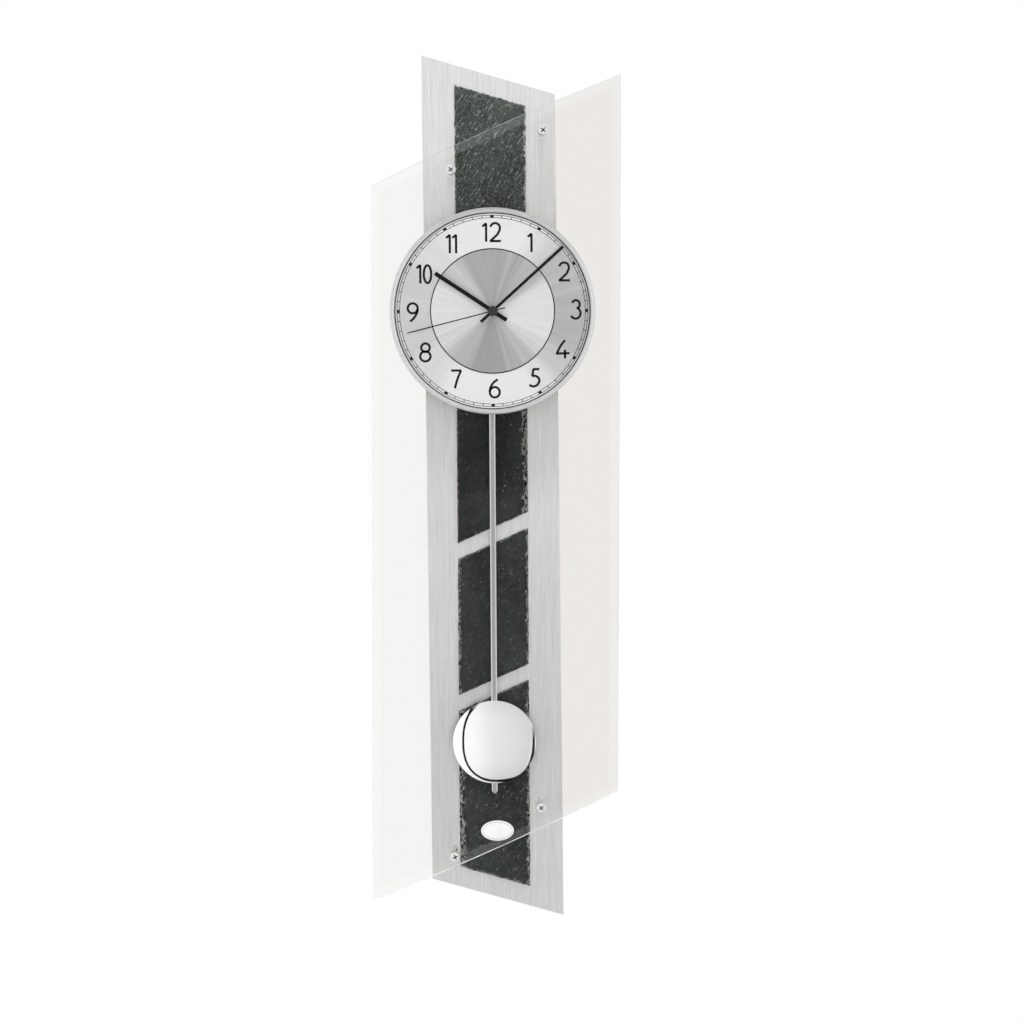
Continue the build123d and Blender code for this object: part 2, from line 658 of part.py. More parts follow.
def make_running_train():
    """Rotor to second arbor 30 to 1, second arbor to centre wheel 60 to 1."""
    fast = FAST_TEETH
    rotor_module = module_for(ROTOR_DISTANCE, fast["intermediate"], fast["rotor"])
    fast_module = module_for(FAST_DISTANCE, fast["second"], fast["pinion"])
    slow = THIRD_TEETH
    third_module = module_for(THIRD_DISTANCE, slow["third"], slow["second_pinion"])
    center_module = module_for(THIRD_DISTANCE, slow["center"], slow["pinion"])

    second = gear(DIAL_AXIS, fast["second"], fast_module, *SECOND_LAYER)
    second += gear(DIAL_AXIS, slow["second_pinion"], third_module, *SECOND_PINION_LAYER)
    second += disc(DIAL_AXIS, SECOND_ARBOR_R, ARBOR_BACK, SECOND_ARBOR_FRONT)
    save("second_wheel", second)

    down = FAST_DIRECTION + 180
    pinion_phase = mesh_phase(fast["pinion"], down, fast["second"], 0)
    place = INTERMEDIATE_AXIS
    intermediate = gear(place, fast["pinion"], fast_module, *FAST_PINION_LAYER, pinion_phase)
    intermediate += gear(place, fast["intermediate"], rotor_module, *FAST_LAYER, pinion_phase)
    intermediate += disc(place, SMALL_ARBOR_R, ARBOR_BACK, ARBOR_FRONT)
    save("intermediate_wheel", intermediate)

    rotor_phase = mesh_phase(fast["rotor"], ROTOR_DIRECTION + 180, fast["intermediate"], pinion_phase)
    rotor = gear(ROTOR_AXIS, fast["rotor"], rotor_module, *ROTOR_PINION_LAYER, rotor_phase)
    save("rotor_pinion", rotor + disc(ROTOR_AXIS, SMALL_ARBOR_R, ARBOR_BACK, ARBOR_FRONT))
    magnet_bore = SMALL_ARBOR_R + FIT
    save("rotor_magnet", tube(ROTOR_AXIS, ROTOR_MAGNET_R, magnet_bore, *ROTOR_MAGNET_LAYER))

    third_phase = mesh_phase(slow["third"], THIRD_DIRECTION + 180, slow["second_pinion"], 0)
    third = gear(THIRD_AXIS, slow["third"], third_module, *THIRD_LAYER, third_phase)
    third += gear(THIRD_AXIS, slow["pinion"], center_module, *THIRD_PINION_LAYER, third_phase)
    third += disc(THIRD_AXIS, SMALL_ARBOR_R, ARBOR_BACK, ARBOR_FRONT)
    save("third_wheel", third)

    center_phase = mesh_phase(slow["center"], THIRD_DIRECTION, slow["pinion"], third_phase)
    bore = MINUTE_PIPE_R + RUNNING
    center = gear(DIAL_AXIS, slow["center"], center_module, *CENTER_LAYER, center_phase, bore)
    save("center_wheel", center)


# ---- movement case --------------------------------------------------------------------------
def case_outline(inset):
    middle = (CASE_LOW + CASE_HIGH) / 2
    width = CASE_WIDTH - 2 * inset
    height = CASE_HIGH - CASE_LOW - 2 * inset
    return Pos(0, middle) * RectangleRounded(width, height, CORNER_R - inset)


def make_case():
    """Front half: threaded bush, board pegs and the arbors' front bearings."""
    inner_front = CASE_FRONT - WALL
    case = layer(case_outline(0), inner_front, CASE_FRONT)
    case += layer(case_outline(0) - case_outline(WALL), CASE_SPLIT, inner_front)
    case += disc(DIAL_AXIS, BUSH_OUTER_R, CASE_FRONT, BUSH_FRONT)
    case -= disc(DIAL_AXIS, HOUR_PIPE_R + RUNNING, inner_front, BUSH_FRONT)
    for place in PCB_PEGS:
        case += disc(place, PEG_FOOT_R, PCB_FRONT, inner_front)
        case += disc(place, PEG_R, PCB_BACK - 0.6, PCB_FRONT)
    for place, radius in ((MOTION_AXIS, MOTION_ARBOR_R), (THIRD_AXIS, SMALL_ARBOR_R),
                          (INTERMEDIATE_AXIS, SMALL_ARBOR_R), (ROTOR_AXIS, SMALL_ARBOR_R)):
        case -= disc(place, radius + RUNNING, inner_front, inner_front + PIVOT_DEPTH)
    save("movement_case", case)


def bay_face(grow):
    return Pos(0, BATTERY_HEIGHT) * Rectangle(BAY_LENGTH + 2 * grow, BAY_HEIGHT + 2 * grow)


def make_cover():
    """Rear half: battery bay, rear bearings and the pendulum's pivot hole."""
    inner_back = CASE_BACK + WALL
    cover = layer(case_outline(0), CASE_BACK, inner_back)
    cover += layer(case_outline(0) - case_outline(WALL), inner_back, CASE_SPLIT)
    cover += layer(bay_face(BAY_WALL), CASE_BACK, BAY_FRONT + BAY_WALL)
    cover -= layer(bay_face(0), CASE_BACK, BAY_FRONT)
    for place in (THIRD_AXIS, INTERMEDIATE_AXIS, ROTOR_AXIS, DIAL_AXIS):
        cover += disc(place, BOSS_R, inner_back, inner_back + BOSS_HEIGHT)
        cover -= disc(place, SMALL_ARBOR_R + RUNNING, ARBOR_BACK - 0.2, inner_back + BOSS_HEIGHT)
    cover -= disc(MOTION_AXIS, MOTION_ARBOR_R + RUNNING, CASE_BACK, inner_back)
    cover -= disc((0, PIVOT_HEIGHT), PIVOT_R + FIT, CASE_BACK, inner_back)
    save("movement_cover", cover)


def make_battery():
    """AA cell lying across the bay, with a stud contact and a spring contact at its ends."""
    bay_end = BAY_LENGTH / 2
    left = -BATTERY_LENGTH / 2 - 0.6
    right = left + BATTERY_LENGTH
    can = along_x((left, BATTERY_AXIS_OUT, BATTERY_HEIGHT), BATTERY_R, BATTERY_LENGTH)
    can = fillet(can.edges().filter_by(GeomType.CIRCLE), 0.5)
    nub = along_x((right, BATTERY_AXIS_OUT, BATTERY_HEIGHT), NUB_R, NUB_LENGTH)
    save("battery", can + nub)

    plate_x = bay_end - CONTACT_SIZE[0] / 2
    stud_start = right + NUB_LENGTH
    stud_length = bay_end - CONTACT_SIZE[0] - stud_start
    plus = block((plate_x, BATTERY_AXIS_OUT, BATTERY_HEIGHT), CONTACT_SIZE)
    plus += along_x((stud_start, BATTERY_AXIS_OUT, BATTERY_HEIGHT), CONTACT_STUD_R, stud_length)
    save("contact_plus", plus)

    minus = block((-plate_x, BATTERY_AXIS_OUT, BATTERY_HEIGHT), CONTACT_SIZE)
    spring_start = CONTACT_SIZE[0] - bay_end
    ring_length = (left - spring_start) / SPRING_RINGS
    for number in range(SPRING_RINGS):
        start = (spring_start + number * ring_length, BATTERY_AXIS_OUT, BATTERY_HEIGHT)
        radius = SPRING_R - SPRING_STEP * number
        ring = along_x(start, radius, ring_length) - along_x(start, radius - SPRING_WIRE, ring_length)
        minus += ring
    save("contact_minus", minus)


def bar_face(left, right, low, high):
    return Pos((left + right) / 2, (low + high) / 2) * Rectangle(right - left, high - low)


def make_motor():
    """Stepping motor: the rotor turns in the frame's hole, the coil sits on its top bar."""
    window_low = ROTOR_AXIS[1] + STATOR_MARGIN
    window_high = STATOR_HIGH - STATOR_BAR
    frame = bar_face(STATOR_LEFT, STATOR_RIGHT, ROTOR_AXIS[1] - STATOR_MARGIN, STATOR_HIGH)
    frame -= bar_face(WINDOW_LEFT, WINDOW_RIGHT, window_low, window_high)
    frame -= Pos(*ROTOR_AXIS) * Circle(ROTOR_HOLE_R)
    save("stator", layer(frame, *STATOR_LAYER))

    thickness = STATOR_LAYER[1] - STATOR_LAYER[0]
    length = COIL_RIGHT - COIL_LEFT
    center = ((COIL_LEFT + COIL_RIGHT) / 2, sum(STATOR_LAYER) / 2, window_high + STATOR_BAR / 2)
    hole = (length + 1, thickness + 2 * LOOSE, STATOR_BAR + 2 * LOOSE)
    barrel = (length, hole[1] + 2 * BOBBIN_WALL, hole[2] + 2 * BOBBIN_WALL)
    flange_x = (length - BOBBIN_FLANGE[0]) / 2
    bobbin = Box(*barrel)
    for side in (-1, 1):
        bobbin += Pos(side * flange_x, 0, 0) * Box(*BOBBIN_FLANGE)
    place = Pos(center[0], -center[1], center[2] - KEYHOLE_ABOVE_DIAL)
    save("coil_bobbin", place * (bobbin - Box(*hole)))
    winding_length = length - 2 * BOBBIN_FLANGE[0] - 2 * RUNNING
    winding = Box(winding_length, *WINDING_HEIGHT)
    winding -= Box(length, barrel[1] + 2 * RUNNING, barrel[2] + 2 * RUNNING)
    save("coil_winding", place * winding)


def make_electronics():
    """Circuit board on its pegs, with the control chip and the crystal on its back."""
    board = Pos(0, PCB_MIDDLE) * Rectangle(PCB_WIDTH, PCB_HEIGHT)
    for place in PCB_PEGS:
        board -= Pos(*place) * Circle(PEG_R + LOOSE)
    save("circuit_board", layer(board, PCB_BACK, PCB_FRONT))
    chip = Pos(*CHIP_CENTER) * RectangleRounded(*CHIP_SIZE, 0.6)
    save("control_chip", layer(chip, PCB_BACK - CHIP_THICKNESS, PCB_BACK))
    save("quartz_crystal", along_x(CRYSTAL_START, CRYSTAL_R, CRYSTAL_LENGTH))


def make_drive():
    """Coil and iron core inside the cover that kick the pendulum's magnet."""
    back = CASE_BACK + WALL
    place = (0, DRIVE_HEIGHT)
    save("drive_coil", tube(place, DRIVE_COIL_R, DRIVE_CORE_R + LOOSE, back, DRIVE_COIL_FRONT))
    save("drive_core", disc(place, DRIVE_CORE_R, back, DRIVE_COIL_FRONT + 0.7))


# ---- pendulum -------------------------------------------------------------------------------
def make_pivot():
    """Pin in the cover's back, a collar that spaces the hanger off it, and a push-on clip."""
    place = (0, PIVOT_HEIGHT)
    pin = disc(place, PIVOT_R, PIVOT_BACK, PIVOT_FRONT)
    pin += disc(place, PIVOT_COLLAR_R, HANGER_FRONT + SIDE_PLAY, CASE_BACK)
    save("pivot_pin", pin)
    clip = tube(place, PIVOT_COLLAR_R, PIVOT_R + FIT, PIVOT_BACK + 0.2, HANGER_BACK - SIDE_PLAY)
    save("pivot_clip", clip)


def make_hanger():
    arm = bar_face(-HANGER_WIDTH / 2, HANGER_WIDTH / 2, HANGER_LOW, PIVOT_HEIGHT)
    arm += Pos(0, PIVOT_HEIGHT) * Circle(HANGER_EYE_R)
    arm += Pos(0, DRIVE_HEIGHT) * Circle(DRIVE_MAGNET_R + 1.4)
    arm += Pos(0, HANGER_LOW) * Circle(HANGER_WIDTH / 2)
    arm -= Pos(0, PIVOT_HEIGHT) * Circle(PIVOT_R + RUNNING)
    arm -= Pos(0, HOOK_HEIGHT) * Rectangle(HOOK_WIDTH + 0.6, HOOK_WIRE + 0.6)
    save("pendulum_hanger", layer(arm, HANGER_BACK, HANGER_FRONT))
    magnet_front = HANGER_FRONT + DRIVE_MAGNET_THICKNESS
    save("drive_magnet", disc((0, DRIVE_HEIGHT), DRIVE_MAGNET_R, HANGER_FRONT, magnet_front))


def make_rod():
    """Flat rod with a pointed end, and the hook that hangs it in the hanger's slot."""
    half_hook = HOOK_WIDTH / 2
    behind = HANGER_BACK - 0.2
    hook = layer(bar_face(-half_hook, half_hook, ROD_TOP - HOOK_OVERLAP, HOOK_HEIGHT),
                 ROD_FRONT, ROD_FRONT + HOOK_WIRE)
    hook += layer(bar_face(-half_hook, half_hook, HOOK_HEIGHT - HOOK_WIRE / 2, HOOK_HEIGHT + HOOK_WIRE / 2),
                  behind - HOOK_WIRE, ROD_FRONT + HOOK_WIRE)
    hook += layer(bar_face(-half_hook, half_hook, HOOK_HEIGHT - HOOK_TAIL, HOOK_HEIGHT),
                  behind - HOOK_WIRE, behind)
    save("pendulum_hook", hook)

    half = ROD_WIDTH / 2
    tip_half = half * 0.4
    shoulder = ROD_TIP + ROD_POINT
    outline = Polyline((-half, ROD_TOP), (half, ROD_TOP), (half, shoulder), (tip_half, ROD_TIP),
                       (-tip_half, ROD_TIP), (-half, shoulder), close=True)
    rod = layer(make_face(outline), HANGER_BACK, ROD_FRONT)
    long_edges = rod.edges().filter_by(Axis.Z).group_by(Axis.Y)[0]
    save("pendulum_rod", chamfer(long_edges, ROD_CHAMFER))


def make_bob():
    axis_place = Vector(0, 0, BOB_HEIGHT - KEYHOLE_ABOVE_DIAL)
    dome_back = BOB_BACK + BOB_SHELL
    rise = BOB_FRONT - dome_back
    sphere_r = (BOB_R ** 2 + rise ** 2) / (2 * rise)
    sphere_out = BOB_FRONT - sphere_r

    def vector(radius, out):
        return axis_place + Vector(radius, -out, 0)

    def arc(radius):
        """Edge, middle and apex of the dome's quarter profile on a sphere of that radius."""
        edge_r = (radius ** 2 - (dome_back - sphere_out) ** 2) ** 0.5
        half_angle = asin(edge_r / radius) / 2
        middle = vector(radius * sin(half_angle), sphere_out + radius * cos(half_angle))
        return vector(edge_r, dome_back), middle, vector(0, sphere_out + radius)

    outer = arc(sphere_r)
    inner = arc(sphere_r - BOB_SHELL)
    rim_x = outer[0].X
    inner_x = inner[0].X
    edges = [
        ThreePointArc(*outer),
        Line(outer[2], inner[2]),
        ThreePointArc(inner[2], inner[1], inner[0]),
        Line(inner[0], vector(inner_x, BOB_BACK)),
        Line(vector(inner_x, BOB_BACK), vector(rim_x, BOB_BACK)),
        Line(vector(rim_x, BOB_BACK), outer[0]),
    ]
    shell = revolve(make_face(edges), Axis(axis_place, (0, 1, 0)))
    save("bob_front", shell)
    save("bob_back", disc((0, BOB_HEIGHT), inner_x - LOOSE, BOB_BACK, BOB_BACK + BOB_PLATE))
    clip = layer(Pos(0, BOB_HEIGHT) * Rectangle(CLIP_WIDTH, CLIP_HEIGHT), CLIP_BACK, BOB_BACK)
    channel = Pos(0, BOB_HEIGHT) * Rectangle(ROD_WIDTH + 2 * LOOSE, CLIP_HEIGHT)
    save("bob_clip", clip - layer(channel, HANGER_BACK - LOOSE, BOB_BACK))


make_carrier()
make_hanger_plate()
make_bumpers()
make_slates()
make_front_glass()
make_glass_fixings()
make_badge()
make_dial()
make_center_fixing()
make_hands()
make_motion_work()
make_running_train()
make_case()
make_cover()
make_battery()
make_motor()
make_electronics()
make_drive()
make_pivot()
make_hanger()
make_rod()
make_bob()
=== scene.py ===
import math

import bmesh
import bpy
from mathutils import Matrix, Vector, noise


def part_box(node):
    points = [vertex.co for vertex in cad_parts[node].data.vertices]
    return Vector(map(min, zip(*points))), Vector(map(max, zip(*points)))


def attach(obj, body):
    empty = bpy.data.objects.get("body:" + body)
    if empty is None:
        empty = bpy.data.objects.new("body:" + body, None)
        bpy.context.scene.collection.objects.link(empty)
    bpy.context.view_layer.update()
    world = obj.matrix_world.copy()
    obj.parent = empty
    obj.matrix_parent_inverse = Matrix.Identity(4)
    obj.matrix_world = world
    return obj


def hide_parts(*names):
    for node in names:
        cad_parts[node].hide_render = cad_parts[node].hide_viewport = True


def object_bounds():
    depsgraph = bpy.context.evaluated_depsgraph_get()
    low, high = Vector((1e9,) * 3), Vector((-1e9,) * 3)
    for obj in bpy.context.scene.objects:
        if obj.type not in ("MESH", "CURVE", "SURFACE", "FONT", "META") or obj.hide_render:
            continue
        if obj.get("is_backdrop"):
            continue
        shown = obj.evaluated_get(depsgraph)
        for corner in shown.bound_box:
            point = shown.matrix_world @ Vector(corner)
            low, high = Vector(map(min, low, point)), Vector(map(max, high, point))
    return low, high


# Looks of the pendulum wall clock, built round its CAD frame. Metres, +Z up, the dial faces -Y.
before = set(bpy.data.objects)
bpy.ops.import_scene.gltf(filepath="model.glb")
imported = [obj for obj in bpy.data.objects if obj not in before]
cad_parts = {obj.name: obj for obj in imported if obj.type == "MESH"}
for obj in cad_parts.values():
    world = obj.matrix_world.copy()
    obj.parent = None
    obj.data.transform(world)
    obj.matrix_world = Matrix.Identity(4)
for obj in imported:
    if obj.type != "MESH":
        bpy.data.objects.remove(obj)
cad_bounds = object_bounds()
MM = 0.001


def box_center(node):
    low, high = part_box(node)
    return (low + high) / 2


def front_of(node):
    """The y of a node's face towards the viewer."""
    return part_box(node)[0].y


DIAL = box_center("bezel_ring")         # middle of the dial


# ---- materials ------------------------------------------------------------------------------
def tone(red, green, blue):
    """A linear colour from 0 to 255 screen values."""
    values = [part / 255 for part in (red, green, blue)]
    return tuple(v / 12.92 if v <= 0.04045 else ((v + 0.055) / 1.055) ** 2.4 for v in values)


def grey(level):
    return tone(level, level, level)


GLASS_SHADE = grey(225)                 # lamp light that a pane lets through
ACROSS, OUTWARDS, UPRIGHT = 0, 1, 2     # the x, y and z axes, as the way a surface is brushed


class Nodes:
    """Short ways to add nodes to a shader tree."""

    def __init__(self, tree):
        self.tree = tree

    def node(self, kind, *inputs, **settings):
        """A node whose first sockets take the inputs, each a value or another node's output."""
        node = self.tree.nodes.new("ShaderNode" + kind)
        for setting, value in settings.items():
            setattr(node, setting, value)
        for socket, value in zip(node.inputs, inputs):
            if isinstance(value, bpy.types.NodeSocket):
                self.tree.links.new(value, socket)
            else:
                socket.default_value = value
        return node

    def math(self, operation, *inputs):
        return self.node("Math", *inputs, operation=operation).outputs[0]

    def vector_math(self, operation, *inputs):
        return self.node("VectorMath", *inputs, operation=operation).outputs[0]

    def span(self, value, low, high, to_low, to_high):
        """The value mapped from one range to another, and held to it."""
        return self.node("MapRange", value, low, high, to_low, to_high).outputs[0]

    def mix(self, factor, first, second):
        """A colour between two, each a colour or another node's output."""
        node = self.node("Mix", factor, data_type="RGBA")
        for socket, color in ((node.inputs[6], first), (node.inputs[7], second)):
            if isinstance(color, bpy.types.NodeSocket):
                self.tree.links.new(color, socket)
            else:
                socket.default_value = (*color, 1)
        return node.outputs[2]

    def ramp(self, value, stops, interpolation="LINEAR"):
        """Colours along a value from 0 to 1; a stop is its place and a colour or a brightness."""
        node = self.node("ValToRGB", value)
        node.color_ramp.interpolation = interpolation
        elements = node.color_ramp.elements
        for index, (place, color) in enumerate(stops):
            stop = elements[index] if index < 2 else elements.new(place)
            stop.position = place
            stop.color = (*color, 1) if isinstance(color, tuple) else (color, color, color, 1)
        return node.outputs[0]


class Finish(Nodes):
    """A Principled material and the patterns that feed it."""

    def __init__(self, name, color, **settings):
        self.material = bpy.data.materials.new(name)
        self.material.use_nodes = True
        super().__init__(self.material.node_tree)
        self.shader = self.tree.nodes["Principled BSDF"]
        self.place = self.node("TexCoord").outputs["Object"]
        self.color = color
        self.set("Base Color", (*color, 1))
        for socket, value in settings.items():
            self.set(socket.replace("_", " ").title().replace("Ior", "IOR"), value)

    def set(self, socket, value):
        self.shader.inputs[socket].default_value = value

    def feed(self, socket, output):
        self.tree.links.new(output, self.shader.inputs[socket])

    def stretched(self, *per_metre):
        """Object coordinates scaled by a number of cycles per metre along each axis."""
        return self.vector_math("MULTIPLY", self.place, per_metre)

    def slanted(self, degrees, across, along):
        """Coordinates for marks that lean to the right of upright by an angle."""
        cosine, sine = math.cos(math.radians(degrees)), math.sin(math.radians(degrees))
        ways = ((across * cosine, 0.0, -across * sine), (along * sine, 0.0, along * cosine))
        over, up = (self.node("VectorMath", self.place, way, operation="DOT_PRODUCT").outputs["Value"]
                    for way in ways)
        return self.node("CombineXYZ", over, 0.0, up).outputs[0]

    def noise(self, vector, detail=3.0, roughness=0.55):
        node = self.node("TexNoise", noise_dimensions="3D")
        self.tree.links.new(vector, node.inputs["Vector"])
        node.inputs["Scale"].default_value = 1.0
        node.inputs["Detail"].default_value = detail
        node.inputs["Roughness"].default_value = roughness
        return node.outputs["Fac"]

    def shade(self, factor, dark, light):
        """Base colour between two shares of the material's own colour."""
        low = tuple(part * dark for part in self.color)
        high = tuple(min(1, part * light) for part in self.color)
        self.feed("Base Color", self.mix(factor, low, high))

    def darken_downwards(self, high, low, share):
        """Painted shade: lets the base colour fall to a share of itself between two heights, darker lower
        down where less light falls.
        """
        height = self.node("SeparateXYZ", self.place).outputs["Z"]
        level = self.span(height, low, high, share, 1.0)
        color = self.shader.inputs["Base Color"].links[0].from_socket
        levels = self.node("CombineXYZ", level, level, level).outputs[0]
        self.feed("Base Color", self.vector_math("MULTIPLY", color, levels))
        return self

    def relief(self, height, depth, strength=1.0):
        bump = self.node("Bump")
        bump.inputs["Strength"].default_value = strength
        bump.inputs["Distance"].default_value = depth
        self.tree.links.new(height, bump.inputs["Height"])
        self.feed("Normal", bump.outputs[0])

    def on(self, *nodes):
        """Puts this finish on CAD nodes."""
        for name in nodes:
            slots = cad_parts[name].data.materials
            if not slots:
                slots.append(self.material)
            for index in range(len(slots)):
                slots[index] = self.material
        return self


def brushed(name, color, along, roughness=0.34, streak=0.06, coarseness=420.0, metallic=1.0):
    """Metal brushed along one axis: fine scratches and longer faint streaks."""
    finish = Finish(name, color, metallic=metallic)
    fine, coarse = [1800.0] * 3, [coarseness] * 3
    fine[along], coarse[along] = 18.0, coarseness / 22
    scratches = finish.noise(finish.stretched(*fine), 2.0)
    streaks = finish.noise(finish.stretched(*coarse), 4.0, 0.65)
    lines = finish.math("MULTIPLY", finish.math("ADD", scratches, streaks), 0.5)
    finish.shade(finish.span(lines, 0.35, 0.65, 0.0, 1.0), 1 - streak, 1 + streak / 2)
    finish.feed("Roughness", finish.span(lines, 0.3, 0.7, roughness + 0.06, roughness - 0.06))
    finish.relief(lines, 0.02 * MM)
    return finish


def turned(name, color, sunray, roughness, anisotropic, streak, painted_sheen, grooves=0.0):
    """Lacquered metal brushed round the dial's centre, or outwards from it where sunray is true.

    The painted sheen pair gives the share of the base colour kept in two painted shade sectors, where the
    brushed reflection looks darker:
    the first right of a circular brushing or above a sunray one, the second left or below. Grooves is the
    pitch of turned grooves.
    """
    finish = Finish(name, color, metallic=0.8, anisotropic=anisotropic)
    finish.set("Anisotropic Rotation", 0.0 if sunray else 0.25)
    tangent = finish.node("Tangent", direction_type="RADIAL", axis="Y")
    finish.feed("Tangent", tangent.outputs[0])
    offset = finish.vector_math("SUBTRACT", finish.place, tuple(DIAL))
    parts = finish.node("SeparateXYZ", offset)
    angle = finish.math("ARCTAN2", parts.outputs["Z"], parts.outputs["X"])
    flat = finish.vector_math("MULTIPLY", offset, (1.0, 0.0, 1.0))
    radius = finish.node("VectorMath", flat, operation="LENGTH").outputs["Value"]
    cosine, sine = finish.math("COSINE", angle), finish.math("SINE", angle)

    def round_noise(around, outwards, detail):
        """Noise that changes with the angle and with the distance from the centre."""
        steps = (finish.math("MULTIPLY", cosine, around), finish.math("MULTIPLY", sine, around),
                 finish.math("MULTIPLY", radius, outwards))
        return finish.noise(finish.node("CombineXYZ", *steps).outputs[0], detail, 0.7)

    lines = round_noise(38.0, 12.0, 5.0) if sunray else round_noise(1.5, 2600.0, 5.0)
    # Painted shade: two sectors of the base colour are darkened where the brushed reflection looks
    # darker, and their edges wander with the angle.
    wander = finish.span(round_noise(2.6, 0.0, 3.0), 0.3, 0.7, -0.16, 0.16)
    across = sine if sunray else cosine
    far = finish.span(finish.math("ADD", across, wander), 0.45, 1.0, 1.0, painted_sheen[0])
    near = finish.span(finish.math("ADD", across, wander), -1.0, -0.45, painted_sheen[1], 1.0)
    level = finish.math("MULTIPLY", finish.math("MULTIPLY", far, near),
                        finish.span(lines, 0.35, 0.65, 1 - streak, 1 + streak / 2))
    levels = finish.node("CombineXYZ", level, level, level).outputs[0]
    finish.feed("Base Color", finish.vector_math("MULTIPLY", color, levels))
    finish.feed("Roughness", finish.span(lines, 0.3, 0.7, roughness + 0.04, roughness - 0.04))
    if grooves:
        wave = finish.math("SINE", finish.math("MULTIPLY", radius, 2 * math.pi / grooves))
        finish.relief(finish.math("MULTIPLY", wave, 0.5), 0.3 * MM)
    return finish


def moulded(name, color, roughness=0.45, grain=2200.0, depth=0.03 * MM, specular=0.5):
    """Moulded plastic, paint or rubber with a fine grain and a slight unevenness."""
    finish = Finish(name, color, specular_ior_level=specular)
    fine = finish.noise(finish.stretched(grain, grain, grain), 2.0)
    cloud = finish.noise(finish.stretched(60.0, 60.0, 60.0), 3.0)
    finish.shade(cloud, 0.88, 1.12)
    finish.feed("Roughness", finish.span(cloud, 0.3, 0.7, roughness - 0.06, roughness + 0.06))
    finish.relief(fine, depth, 0.6)
    return finish


def polished(name, color, roughness):
    """Mirror metal with faint wiping marks."""
    finish = Finish(name, color, metallic=1.0)
    marks = finish.noise(finish.stretched(90.0, 90.0, 35.0), 5.0, 0.6)
    finish.shade(marks, 0.97, 1.02)
    finish.feed("Roughness", finish.span(marks, 0.35, 0.7, roughness, roughness + 0.03))
    return finish


def slate_stone():
    """Cleft slate: nearly black, cloudy and pitted, with pale slanting scratches and broken edges; the
    broken edges carry a painted highlight and painted shade, and the slate has painted shade towards the
    bottom.

    The slabs' own values "pitted" and "broken" say how much of each there is at a point.
    """
    finish = Finish("cleft_slate", tone(46, 50, 48), specular_ior_level=0.2)
    cloud = finish.noise(finish.stretched(34.0, 34.0, 14.0), 5.0, 0.65)
    grain = finish.noise(finish.stretched(640.0, 640.0, 520.0), 4.0, 0.7)
    flake = finish.noise(finish.stretched(240.0, 240.0, 130.0), 4.0, 0.65)
    pitted = finish.node("Attribute", attribute_name="pitted").outputs["Fac"]
    pits = finish.math("MULTIPLY", finish.span(grain, 0.42, 0.68, 0.0, 1.0), pitted)
    scratch_lines = finish.noise(finish.slanted(35, 700.0, 120.0), 3.0, 0.6)
    scratches = finish.math("MULTIPLY", finish.span(scratch_lines, 0.58, 0.70, 0.0, 0.6), pitted)
    dots = finish.span(finish.noise(finish.stretched(520.0, 520.0, 520.0), 1.0), 0.74, 0.78, 0.0, 0.6)

    # Painted highlight and shade along broken edges: thin pale ridge lines stand for light catching the
    # chips, and dark gaps between them stand for shade.
    edges = finish.node("Attribute", attribute_name="broken").outputs["Fac"]
    broken = finish.span(edges, 0.12, 0.55, 0.0, 1.0)
    crumbs = finish.noise(finish.stretched(360.0, 360.0, 150.0), 3.0, 0.6)
    ridges = finish.math("ABSOLUTE", finish.math("SUBTRACT", crumbs, 0.5))
    bright = finish.math("MULTIPLY", broken, finish.span(ridges, 0.02, 0.05, 1.0, 0.0))
    painted_gap_shade = finish.math("MULTIPLY", broken, finish.span(ridges, 0.06, 0.14, 0.0, 1.0))

    body = finish.mix(finish.span(cloud, 0.35, 0.65, 0.0, 1.0), tone(24, 30, 27), tone(60, 66, 62))
    body = finish.mix(pits, body, tone(100, 107, 102))
    body = finish.mix(painted_gap_shade, body, tone(16, 18, 17))
    # The pale colour serves the real scratches and specks and also the painted ridge highlight.
    pale = finish.math("MAXIMUM", bright, finish.math("MAXIMUM", scratches, dots))
    finish.feed("Base Color", finish.mix(pale, body, tone(214, 217, 213)))
    finish.feed("Roughness", finish.span(flake, 0.3, 0.7, 0.42, 0.62))
    finish.relief(finish.math("ADD", flake, finish.math("MULTIPLY", grain, 0.5)), 0.7 * MM)
    # Painted shade: the slate falls to 0.55 of its colour towards the bottom.
    return finish.darken_downwards(-0.05, -0.26, 0.55)


def clear_glass(name, color, roughness=0.0, bend=1.5, clarity=1.0):
    """Glass that bends what is behind it but lets lamp light straight through."""
    finish = Finish(name, color, transmission_weight=clarity, ior=bend)
    haze = finish.noise(finish.stretched(30.0, 30.0, 14.0), 3.0)
    finish.feed("Roughness", finish.span(haze, 0.3, 0.8, roughness, roughness + 0.01))
    clear = finish.node("BsdfTransparent", (*GLASS_SHADE, 1))
    shadow = finish.node("LightPath").outputs["Is Shadow Ray"]
    choice = finish.node("MixShader", shadow, finish.shader.outputs[0], clear.outputs[0])
    output = finish.tree.nodes["Material Output"]
    finish.tree.links.new(choice.outputs[0], output.inputs["Surface"])
    return finish


def fibreboard():
    finish = Finish("stained_board", tone(70, 64, 58))
    fibre = finish.noise(finish.stretched(520.0, 520.0, 240.0), 6.0, 0.7)
    cloud = finish.noise(finish.stretched(20.0, 20.0, 20.0), 3.0)
    finish.feed("Base Color", finish.mix(fibre, tone(48, 44, 41), tone(92, 84, 76)))
    finish.feed("Roughness", finish.span(cloud, 0.3, 0.7, 0.62, 0.78))
    finish.relief(fibre, 0.12 * MM)
    return finish


def wound_wire():
    """Enamelled copper wire in close turns."""
    finish = Finish("copper_winding", tone(190, 110, 70), metallic=0.9)
    turns = finish.node("TexWave", finish.place, wave_type="BANDS", bands_direction="X")
    turns.inputs["Scale"].default_value = 900.0
    turns.inputs["Distortion"].default_value = 0.4
    finish.shade(turns.outputs["Fac"], 0.55, 1.15)
    finish.set("Roughness", 0.28)
    finish.relief(turns.outputs["Fac"], 0.08 * MM)
    return finish


